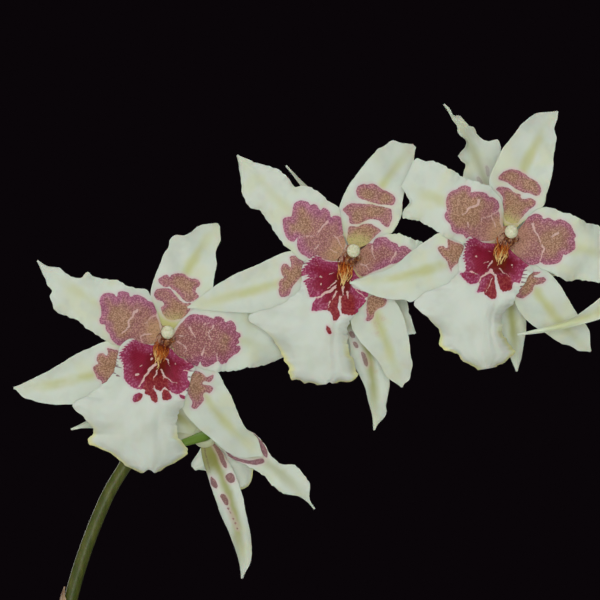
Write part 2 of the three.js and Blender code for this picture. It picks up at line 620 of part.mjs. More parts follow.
function bulbTop(bulb) {
  const top = new THREE.Vector3(0, 0, bulb.height);
  top.applyAxisAngle(new THREE.Vector3(0, 1, 0), bulb.lean);
  const [x, y] = bulb.at;
  return top.add(new THREE.Vector3(x, y, barkLevel(x, y) - BULB_SINK));
}

// Leaves: folded straps. Each starts at a foot, rises and arches over towards its heading.

const LEAF_STEPS = 11;
const LEAF_SHAPE = [0.18, 0.26, 0.44, 0.7, 0.9, 1, 1, 0.97, 0.88, 0.72, 0.46, 0.06];

const LEAF_SINK = 1.5;           // depth of the hollow that a basal leaf stands in
const FOOT_CLEAR = 0.9;
const TOP_CLEAR = 0.7;
const topOf = (index) => bulbTop(BULBS[index]).add(new THREE.Vector3(0, 0, TOP_CLEAR));
const LEAF_FEET = [[54, -9], [-54, 3], [12, -40]];
const footAt = ([x, y]) => new THREE.Vector3(x, y, barkLevel(x, y) - LEAF_SINK + FOOT_CLEAR);

// seat is how far from the foot a leaf starts, along its heading.
const LEAVES = [
  { foot: topOf(0), seat: 4.4, heading: -64, length: 300, wide: 19, rise: 74, bend: 112 },
  { foot: topOf(0), seat: 4.4, heading: 52, length: 270, wide: 18, rise: 72, bend: 104 },
  { foot: topOf(1), seat: 4.9, heading: 110, length: 310, wide: 19, rise: 77, bend: 106 },
  { foot: topOf(1), seat: 4.9, heading: 220, length: 290, wide: 18, rise: 73, bend: 100 },
  { foot: topOf(2), seat: 2, heading: 255, length: 280, wide: 18, rise: 78, bend: 120 },
  { foot: topOf(3), seat: 2, heading: 75, length: 260, wide: 17, rise: 80, bend: 108 },
  { foot: footAt(LEAF_FEET[0]), seat: 0, heading: -8, length: 240, wide: 16, rise: 74, bend: 104 },
  { foot: footAt(LEAF_FEET[1]), seat: 0, heading: 168, length: 220, wide: 15, rise: 72, bend: 98 },
  { foot: footAt(LEAF_FEET[2]), seat: 0, heading: -88, length: 250, wide: 16, rise: 70, bend: 100 },
];
const FOLD_FOOT = 0.45;          // how deep the fold is, as a share of the half width
const FOLD_OUT = 0.22;

// rise is the angle above the level at the foot, and bend is how far the leaf turns down by its tip.
function leafGeometry(leaf) {
  const heading = THREE.MathUtils.degToRad(leaf.heading);
  const out = new THREE.Vector3(Math.cos(heading), Math.sin(heading), 0);
  const side = new THREE.Vector3(-Math.sin(heading), Math.cos(heading), 0);
  const point = leaf.foot.clone().addScaledVector(out, leaf.seat);
  const step = leaf.length / LEAF_STEPS;
  const upper = [];
  const under = [];
  for (let i = 0; i <= LEAF_STEPS; i += 1) {
    const t = i / LEAF_STEPS;
    const angle = THREE.MathUtils.degToRad(leaf.rise - leaf.bend * t * t);
    const along = out.clone().multiplyScalar(Math.cos(angle)).add(new THREE.Vector3(0, 0, Math.sin(angle)));
    const normal = new THREE.Vector3().crossVectors(along, side);
    const half = leaf.wide * LEAF_SHAPE[i];
    const fold = half * THREE.MathUtils.lerp(FOLD_FOOT, FOLD_OUT, Math.min(1, 2.5 * t));
    const across = [1, 0, -1].map((v) => {
      const p = point.clone().addScaledVector(side, half * v);
      return p.addScaledVector(normal, fold * v * v);
    });
    under.push(across.map((p) => p.clone().addScaledVector(normal, -LEAF_THICK / 2)));
    upper.push(across.map((p) => p.clone().addScaledVector(normal, LEAF_THICK / 2)));
    point.addScaledVector(along, step);
  }
  return shellBetween(upper, under);
}

LEAVES.forEach((leaf, index) => place(`leaf_${index + 1}`, leafGeometry(leaf), 'leaf'));

// Pot: turned clay with a rim band and drain holes round the middle of its floor

// The inside wall is straight between these two rings.
const INSIDE_LOW = { r: POT_BASE_RADIUS - POT_WALL + 2, h: POT_FLOOR + 3 };
const INSIDE_HIGH = { r: POT_TOP_RADIUS - POT_WALL - 2.5, h: POT_HEIGHT - 3 };
const INSIDE_FLOOR_RADIUS = POT_BASE_RADIUS - POT_WALL - 1;
const EDGE = 1.5;                // how much the base and rim are rounded off

function potGeometry() {
  const bandFoot = POT_HEIGHT - RIM_HEIGHT;
  const share = bandFoot / POT_HEIGHT;
  const sideRadius = THREE.MathUtils.lerp(POT_BASE_RADIUS, POT_TOP_RADIUS - RIM_PROUD, share);
  const outline = [
    [0, 0],
    [POT_BASE_RADIUS - EDGE, 0],
    [POT_BASE_RADIUS, EDGE],
    [sideRadius, bandFoot],
    [sideRadius + RIM_PROUD - EDGE / 2, bandFoot + EDGE / 2],
    [POT_TOP_RADIUS, POT_HEIGHT - EDGE],
    [POT_TOP_RADIUS - EDGE, POT_HEIGHT],
    [POT_TOP_RADIUS - POT_WALL, POT_HEIGHT],
    [INSIDE_HIGH.r, INSIDE_HIGH.h],
    [INSIDE_LOW.r, INSIDE_LOW.h],
    [INSIDE_FLOOR_RADIUS, POT_FLOOR],
    [0, POT_FLOOR],
  ];
  const pot = new THREE.LatheGeometry(outline.map(([r, h]) => new THREE.Vector2(r, h)), POT_SIDES);
  pot.rotateX(Math.PI / 2);
  let solid = solidFrom(pot);
  for (let k = 0; k < DRAIN_COUNT; k += 1) {
    const turn = (2 * Math.PI * k) / DRAIN_COUNT;
    const drill = new THREE.CylinderGeometry(DRAIN_RADIUS, DRAIN_RADIUS, 3 * POT_FLOOR, 10);
    drill.rotateX(Math.PI / 2);
    drill.translate(DRAIN_RING * Math.cos(turn), DRAIN_RING * Math.sin(turn), 0);
    solid = solid.subtract(solidFrom(drill));
  }
  return geometryFrom(solid);
}

place('pot', potGeometry(), 'pot');

// Bark: fills the pot to just under the rim, with flat chips bedded in its top

const BARK_GAP = 2 * GAP;
const BARK_SIDES = 20;
const BARK_SHOULDER = 36;        // radius of the ring where the crown starts to level out
const CHIP_COUNT = 11;
const CHIP_THICK = 6;
const CHIP_EDGE = 11;            // the chips' middles stay this far from the wall
const CHIP_SINK = 0.6;
const CHIP_TILT = 0.3;
const GOLDEN_TURN = 2.39996;
const BULB_CLEAR = 0.5;
const SOCKET_CLEAR = 0.5;
const HOLLOW_RADIUS = 6.5;

function potInside(height) {
  const share = (height - INSIDE_LOW.h) / (INSIDE_HIGH.h - INSIDE_LOW.h);
  return THREE.MathUtils.lerp(INSIDE_LOW.r, INSIDE_HIGH.r, share);
}

// The chips differ a little in size and tilt, by waves of their number.
function chip(k) {
  const reach = (potInside(BARK_TOP) - CHIP_EDGE) * Math.sqrt((k + 0.5) / CHIP_COUNT);
  const turn = k * GOLDEN_TURN;
  const [x, y] = [reach * Math.cos(turn), reach * Math.sin(turn)];
  const long = 15 + 4 * Math.sin(3 * k);
  const wide = 9 + 3 * Math.cos(5 * k);
  const geometry = new THREE.BoxGeometry(long, wide, CHIP_THICK);
  geometry.rotateX(CHIP_TILT * Math.sin(7 * k));
  geometry.rotateY(CHIP_TILT * Math.cos(4 * k));
  geometry.rotateZ(1.7 * k);
  geometry.translate(x, y, barkLevel(x, y) - CHIP_SINK);
  return geometry;
}

// An upright cylinder from a given level up, to cut a hollow in the bark's top
function wellAt(x, y, level, radius, sides) {
  const height = 2 * POT_HEIGHT - level;
  const well = new THREE.CylinderGeometry(radius, radius, height, sides);
  well.rotateX(Math.PI / 2);
  well.translate(x, y, level + height / 2);
  return solidFrom(well);
}

function barkGeometry() {
  const outline = [
    [0, POT_FLOOR + BARK_GAP],
    [INSIDE_FLOOR_RADIUS - BARK_GAP, POT_FLOOR + BARK_GAP],
    [INSIDE_LOW.r - BARK_GAP, INSIDE_LOW.h + BARK_GAP],
    [potInside(BARK_TOP) - BARK_GAP, BARK_TOP],
    [BARK_SHOULDER, barkLevel(BARK_SHOULDER, 0)],
    [0, barkLevel(0, 0)],
  ];
  const mound = new THREE.LatheGeometry(outline.map(([r, h]) => new THREE.Vector2(r, h)), BARK_SIDES);
  mound.rotateX(Math.PI / 2);
  const chips = Array.from({ length: CHIP_COUNT }, (_, k) => chip(k));
  const socket = wellAt(0, 0, SPIKE_ROUTE[0][2] - GAP, SPIKE_FOOT_RADIUS + SOCKET_CLEAR, SPIKE_SIDES);
  const cuts = [
    socket,
    ...BULBS.map((bulb) => solidFrom(bulbGeometry(bulb, BULB_CLEAR))),
    ...LEAF_FEET.map(([x, y]) => wellAt(x, y, barkLevel(x, y) - LEAF_SINK, HOLLOW_RADIUS, 8)),
  ];
  return geometryFrom(cuts.reduce((rest, cut) => rest.subtract(cut), fuse([mound, ...chips])));
}

place('bark', barkGeometry(), 'bark');

export default plant;
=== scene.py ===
import math
import random
from collections import namedtuple

import bpy
import numpy as np
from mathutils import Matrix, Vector


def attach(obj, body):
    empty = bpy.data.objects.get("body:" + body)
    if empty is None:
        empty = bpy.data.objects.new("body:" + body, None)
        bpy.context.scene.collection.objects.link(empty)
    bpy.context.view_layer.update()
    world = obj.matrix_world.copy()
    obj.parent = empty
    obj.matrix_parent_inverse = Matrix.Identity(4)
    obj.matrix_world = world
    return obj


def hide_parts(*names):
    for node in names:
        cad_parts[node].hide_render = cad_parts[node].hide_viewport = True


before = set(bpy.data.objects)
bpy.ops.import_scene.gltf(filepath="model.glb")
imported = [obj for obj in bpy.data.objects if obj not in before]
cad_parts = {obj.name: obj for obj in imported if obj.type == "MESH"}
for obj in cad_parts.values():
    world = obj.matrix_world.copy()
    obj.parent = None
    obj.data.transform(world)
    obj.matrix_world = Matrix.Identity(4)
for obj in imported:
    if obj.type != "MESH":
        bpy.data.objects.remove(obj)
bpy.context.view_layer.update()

MM = 0.001

# Camera, light and floor

VIEW_DISTANCE = 2400             # from the plane of the first bloom
VIEW_CENTRE = (100, 574.7)       # x and z at the middle of the picture
VIEW_WIDTH = 252                 # of that plane, across the picture
SENSOR = 36
CLIP_END = 100                   # in metres

LIGHTS = {
    # name: place in metres, width in metres, power in watts
    "key": ((-1.0, -2.5, 1.5), 2.4, 13),
    "fill": ((1.5, -2.3, 0.6), 2.8, 6),
    "side": ((-2.6, -0.7, 0.8), 1.4, 11),
    "front": ((0.1, -2.9, 0.62), 0.6, 33),
    "top": ((0.4, 0.4, 2.4), 1.8, 20),
    "back": ((-0.9, 2.2, 1.0), 1.6, 12),
}
LIGHT_TARGET = Vector((0.08, 0, 0.45))
BACKDROP = (0.003, 0.0018, 0.0027)
FLOOR_RADIUS, FLOOR_SIDES = 6000, 96
FLOOR_UNDER, FLOOR_TOP = -20, -0.2


def add_camera():
    data = bpy.data.cameras.new("camera")
    data.sensor_width = SENSOR
    data.lens = SENSOR * VIEW_DISTANCE / VIEW_WIDTH
    data.clip_end = CLIP_END
    camera = bpy.data.objects.new("camera", data)
    camera.location = (VIEW_CENTRE[0] * MM, -VIEW_DISTANCE * MM, VIEW_CENTRE[1] * MM)
    camera.rotation_euler = (math.pi / 2, 0, 0)
    bpy.context.scene.collection.objects.link(camera)
    bpy.context.scene.camera = camera


def add_light(name, place, width, power):
    data = bpy.data.lights.new(name, "AREA")
    data.shape = "DISK"
    data.size = width
    data.energy = power
    light = bpy.data.objects.new(name, data)
    light.location = place
    light.rotation_euler = (LIGHT_TARGET - Vector(place)).to_track_quat("-Z", "Y").to_euler()
    bpy.context.scene.collection.objects.link(light)


def add_studio():
    for name, (place, width, power) in LIGHTS.items():
        add_light(name, place, width, power)
    world = bpy.data.worlds.new("studio")
    world.use_nodes = True
    world.node_tree.nodes["Background"].inputs["Color"].default_value = (*BACKDROP, 1)
    bpy.context.scene.world = world
    bpy.context.scene.view_settings.view_transform = "Standard"


def add_floor(material):
    shape = Shape()
    radii = [0, FLOOR_RADIUS, FLOOR_RADIUS, 0]
    shape.add(lathe(radii, [FLOOR_UNDER, FLOOR_UNDER, FLOOR_TOP, FLOOR_TOP], FLOOR_SIDES))
    floor = shape.loose("floor", material)


# How materials are made


class Shader:
    """One material. A value is a socket, a number or a colour."""

    def __init__(self, name, level, depth=0.0, scale=0.001, sheen=0.0):
        """level is how glossy it is, and depth and scale say how light sinks into it."""
        self.material = bpy.data.materials.new(name)
        self.material.use_nodes = True
        self.tree = self.material.node_tree
        self.surface = self.tree.nodes["Principled BSDF"]
        self.surface.inputs["Specular IOR Level"].default_value = level
        self.surface.inputs["Subsurface Weight"].default_value = depth
        self.surface.inputs["Subsurface Scale"].default_value = scale
        self.surface.inputs["Sheen Weight"].default_value = sheen
        self.place = self.tree.nodes.new("ShaderNodeTexCoord").outputs["Object"]

    def feed(self, socket, value):
        if isinstance(value, bpy.types.NodeSocket):
            self.tree.links.new(value, socket)
        elif isinstance(value, tuple) and len(value) == 3 and socket.type == "RGBA":
            socket.default_value = (*value, 1)
        else:
            socket.default_value = value

    def math(self, operation, first, second=0.0):
        node = self.tree.nodes.new("ShaderNodeMath")
        node.operation = operation
        self.feed(node.inputs[0], first)
        self.feed(node.inputs[1], second)
        return node.outputs[0]

    def times(self, *values):
        result = values[0]
        for value in values[1:]:
            result = self.math("MULTIPLY", result, value)
        return result

    def plus(self, *values):
        result = values[0]
        for value in values[1:]:
            result = self.math("ADD", result, value)
        return result

    def size(self, value):
        return self.math("ABSOLUTE", value)

    def centred(self, value):
        """A noise from 0 to 1, brought to lie round 0."""
        return self.math("SUBTRACT", value, 0.5)

    def ease(self, value, low, high):
        """0 where value is at low, 1 where it is at high, and smooth between."""
        node = self.tree.nodes.new("ShaderNodeMapRange")
        node.interpolation_type = "SMOOTHSTEP"
        self.feed(node.inputs["Value"], value)
        node.inputs["From Min"].default_value = low
        node.inputs["From Max"].default_value = high
        return node.outputs["Result"]

    def mix(self, share, first, second):
        node = self.tree.nodes.new("ShaderNodeMix")
        node.data_type = "RGBA"
        self.feed(node.inputs[0], share)
        self.feed(node.inputs[6], first)
        self.feed(node.inputs[7], second)
        return node.outputs[2]

    def cover(self, under, over, value, low, high, *shares):
        """One colour over another where value goes from low to high, at the product of the shares."""
        return self.mix(self.times(self.ease(value, low, high), *shares), under, over)

    def noise(self, size, detail=2.0, rough=0.5, stretch=None):
        """size is the width of the grain in millimetres, which stretch draws out along x, y and z."""
        node = self.tree.nodes.new("ShaderNodeTexNoise")
        place = self.place
        if stretch:
            mapping = self.tree.nodes.new("ShaderNodeMapping")
            self.feed(mapping.inputs["Vector"], place)
            mapping.inputs["Scale"].default_value = stretch
            place = mapping.outputs["Vector"]
        self.feed(node.inputs["Vector"], place)
        node.inputs["Scale"].default_value = 1 / (size * MM)
        node.inputs["Detail"].default_value = detail
        node.inputs["Roughness"].default_value = rough
        return node.outputs["Fac"]

    def held(self, name):
        """A value that the mesh holds at each of its points."""
        node = self.tree.nodes.new("ShaderNodeAttribute")
        node.attribute_name = name
        return node.outputs["Fac"]

    def bump(self, height, depth):
        """depth in millimetres is the relief where height goes from 0 to 1."""
        node = self.tree.nodes.new("ShaderNodeBump")
        node.inputs["Distance"].default_value = depth * MM
        self.feed(node.inputs["Height"], height)
        self.feed(self.surface.inputs["Normal"], node.outputs["Normal"])

    def finish(self, colour, roughness):
        self.feed(self.surface.inputs["Base Color"], colour)
        self.feed(self.surface.inputs["Roughness"], roughness)
        return self.material


def srgb(*parts):
    """A colour written as its screen values from 0 to 255."""
    return tuple(((p / 255 + 0.055) / 1.055) ** 2.4 if p > 10 else p / 255 / 12.92 for p in parts)


# How meshes are made


class Shape:
    """Collects closed bodies, with values held at their points, and makes one object of them."""

    def __init__(self):
        self.points = []
        self.faces = []
        self.values = {}
        self.count = 0

    def add(self, body, **values):
        points = np.asarray(body[0], dtype=float).reshape(-1, 3)
        self.points.append(points)
        self.faces.extend(tuple(k + self.count for k in face) for face in outward(points, body[1]))
        for name, value in values.items():
            self.values.setdefault(name, []).append((self.count, len(points), value))
        self.count += len(points)

    def loose(self, name, *materials, smooth=True):
        """The mesh as an object that isn't one of the part's pieces yet."""
        mesh = bpy.data.meshes.new(name)
        points = np.concatenate(self.points) * MM
        mesh.from_pydata(points.tolist(), [], self.faces)
        for material in materials:
            mesh.materials.append(material)
        mesh.polygons.foreach_set("use_smooth", [smooth] * len(self.faces))
        for key, runs in self.values.items():
            held = np.zeros(self.count, dtype=np.float32)
            for start, size, value in runs:
                held[start:start + size] = np.ravel(value) if np.ndim(value) else value
            layer = mesh.attributes.new(key, "FLOAT", "POINT")
            layer.data.foreach_set("value", held)
        mesh.update()
        piece = bpy.data.objects.new(name, mesh)
        bpy.context.scene.collection.objects.link(piece)
        return piece

    def build(self, name, material, slot, node, smooth=True):
        piece = self.loose(name, material, smooth=smooth)
        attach(piece, "root")
        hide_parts(node)
        return piece


def sheet_faces(rows, columns):
    """Faces of a closed sheet: a front grid, then a like grid behind it, and the rim between them."""
    under = rows * columns
    grid = np.arange(under).reshape(rows, columns)
    a, b = grid[:-1, :-1].ravel(), grid[1:, :-1].ravel()
    c, d = grid[1:, 1:].ravel(), grid[:-1, 1:].ravel()
    front = np.stack([a, d, c, b], axis=1)
    back = np.stack([a, b, c, d], axis=1) + under
    rim = [*grid[:-1, 0], *grid[-1, :-1], *grid[:0:-1, -1], *grid[0, :0:-1]]
    edge = [(i, j, j + under, i + under) for i, j in zip(rim, rim[1:] + rim[:1])]
    return front.tolist() + back.tolist() + [tuple(int(k) for k in face) for face in edge]


def on_both(grid):
    """A value of each place of a sheet's grid, for its front and its back."""
    return np.tile(np.ravel(grid), 2)


def outward(points, faces):
    """The faces, turned over if the closed body would be inside out."""
    volume = 0.0
    for corners in (3, 4):
        run = np.array([face for face in faces if len(face) == corners])
        if len(run):
            a, b, c = (points[run[:, k]] for k in range(3))
            volume += np.einsum("ij,ij->", a, np.cross(b, c))
            if corners == 4:
                volume += np.einsum("ij,ij->", a, np.cross(c, points[run[:, 3]]))
    return faces if volume > 0 else [tuple(reversed(face)) for face in faces]


def ring_faces(rings, sides):
    """Faces of a closed tube of rings, with a fan to a point at each end (the two last points)."""
    faces = []
    for i in range(rings - 1):
        for k in range(sides):
            a, b = i * sides + k, i * sides + (k + 1) % sides
            faces.append((a, b, b + sides, a + sides))
    first = rings * sides
    for k in range(sides):
        faces.append((first, (k + 1) % sides, k))
        faces.append((first + 1, (rings - 1) * sides + k, (rings - 1) * sides + (k + 1) % sides))
    return faces


def circle(sides):
    """Angles at equal steps round a full turn."""
    return 2 * np.pi * np.arange(sides) / sides


def headings(path):
    along = np.gradient(path, axis=0)
    return along / np.linalg.norm(along, axis=1)[:, None]


TUBE_START = (0.3, 1, 0.2)       # a direction that no path begins in


def tube(path, radii, sides, squash=1.0):
    """The body of a round tube along a path. squash flattens it across its second direction."""
    path = np.asarray(path, dtype=float)
    along = headings(path)
    normal = np.cross(along[0], TUBE_START)
    normal /= np.linalg.norm(normal)
    turns = circle(sides)
    points = []
    for centre, direction, radius in zip(path, along, radii):
        normal = normal - direction * np.dot(normal, direction)
        normal /= np.linalg.norm(normal)
        side = np.cross(direction, normal)
        ring = np.outer(np.cos(turns), normal) + squash * np.outer(np.sin(turns), side)
        points.append(centre + radius * ring)
    points = np.concatenate(points + [path[:1], path[-1:]])
    return points, ring_faces(len(path), sides)


def lathe(radii, heights, sides, ripple=None):
    """A turned body about the z axis, from rings of radius and height; ripple scales each side."""
    turns = circle(sides)
    scale = np.ones(sides) if ripple is None else ripple(turns)
    rings = [np.stack([r * scale * np.cos(turns), r * scale * np.sin(turns), np.full(sides, h)], axis=1)
             for r, h in zip(radii[1:-1], heights[1:-1])]
    points = np.concatenate(rings + [[(0, 0, heights[0])], [(0, 0, heights[-1])]])
    return points, ring_faces(len(rings), sides)


def smooth_list(values, share):
    """Values at equal steps, read smoothly at shares from 0 to 1."""
    values = np.asarray(values, dtype=float)
    place = np.clip(share, 0, 1) * (len(values) - 1)
    index = np.minimum(place.astype(int), len(values) - 2)
    f = place - index
    p = [values[np.clip(index + k, 0, len(values) - 1)] for k in (-1, 0, 1, 2)]
    if values.ndim > 1:
        f = f[:, None]
    slope_a, slope_b = (p[2] - p[0]) / 2, (p[3] - p[1]) / 2
    return (
        p[1] * (1 + 2 * f) * (1 - f) ** 2 + slope_a * f * (1 - f) ** 2
        + p[2] * f * f * (3 - 2 * f) + slope_b * f * f * (f - 1)
    )


def ease(value, low, high):
    share = np.clip((value - low) / (high - low), 0, 1)
    return share * share * (3 - 2 * share)


# The blooms' outlines

# Each petal, sepal or lip is drawn in its bloom's own plane: x to the right, y up, both from the middle of
# the bloom, and z towards the side that the bloom faces. A blade runs from its base to its tip, bows to one
# side, and has a list of half widths on its left and on its right. These are the outlines of the solids.

POINT = 0.4                      # half the width of a pointed end
LAYERS = {
    # lift at the root, the middle and the tip, curl of the edges, and height and number of their waves
    "sepal": {"lift": [-2.3, -1, -9], "cup": 1.4, "ruffle": 0.6, "waves": 1.5},
    "petal": {"lift": [-0.5, 4.5, -3.5], "cup": -1, "ruffle": 1.8, "waves": 2.6},
    "lip": {"lift": [1.6, 11, 5], "cup": 0, "ruffle": 1.8, "waves": 3.2},
}
PLAIN_WIDTHS = {
    "sepal": [0.5, 0.82, 0.98, 1, 0.92, 0.72, 0.42, 0],
    "petal": [0.6, 0.92, 1, 0.96, 1, 0.84, 0.66, 0.5, 0.24, 0],
    "lip": [0.5, 0.54, 0.5, 0.62, 0.9, 1, 0.86, 0.9, 0.6, 0],
}
PLAIN_BASE = 3                   # from the middle of a bloom to the root of a plain blade


def blade(layer, base, tip, bow, left, right, lift=None):
    return {**LAYERS[layer], "layer": layer, "base": base, "tip": tip, "bow": bow, "left": left,
            "right": right, "lift": lift or LAYERS[layer]["lift"]}


def plain(layer, tip, wide, bow=0):
    """A part of ordinary outline, for blooms that the picture doesn't show."""
    widths = [max(POINT, share * wide) for share in PLAIN_WIDTHS[layer]]
    reach = math.hypot(*tip)
    return blade(layer, [PLAIN_BASE * part / reach for part in tip], tip, bow, widths, widths)


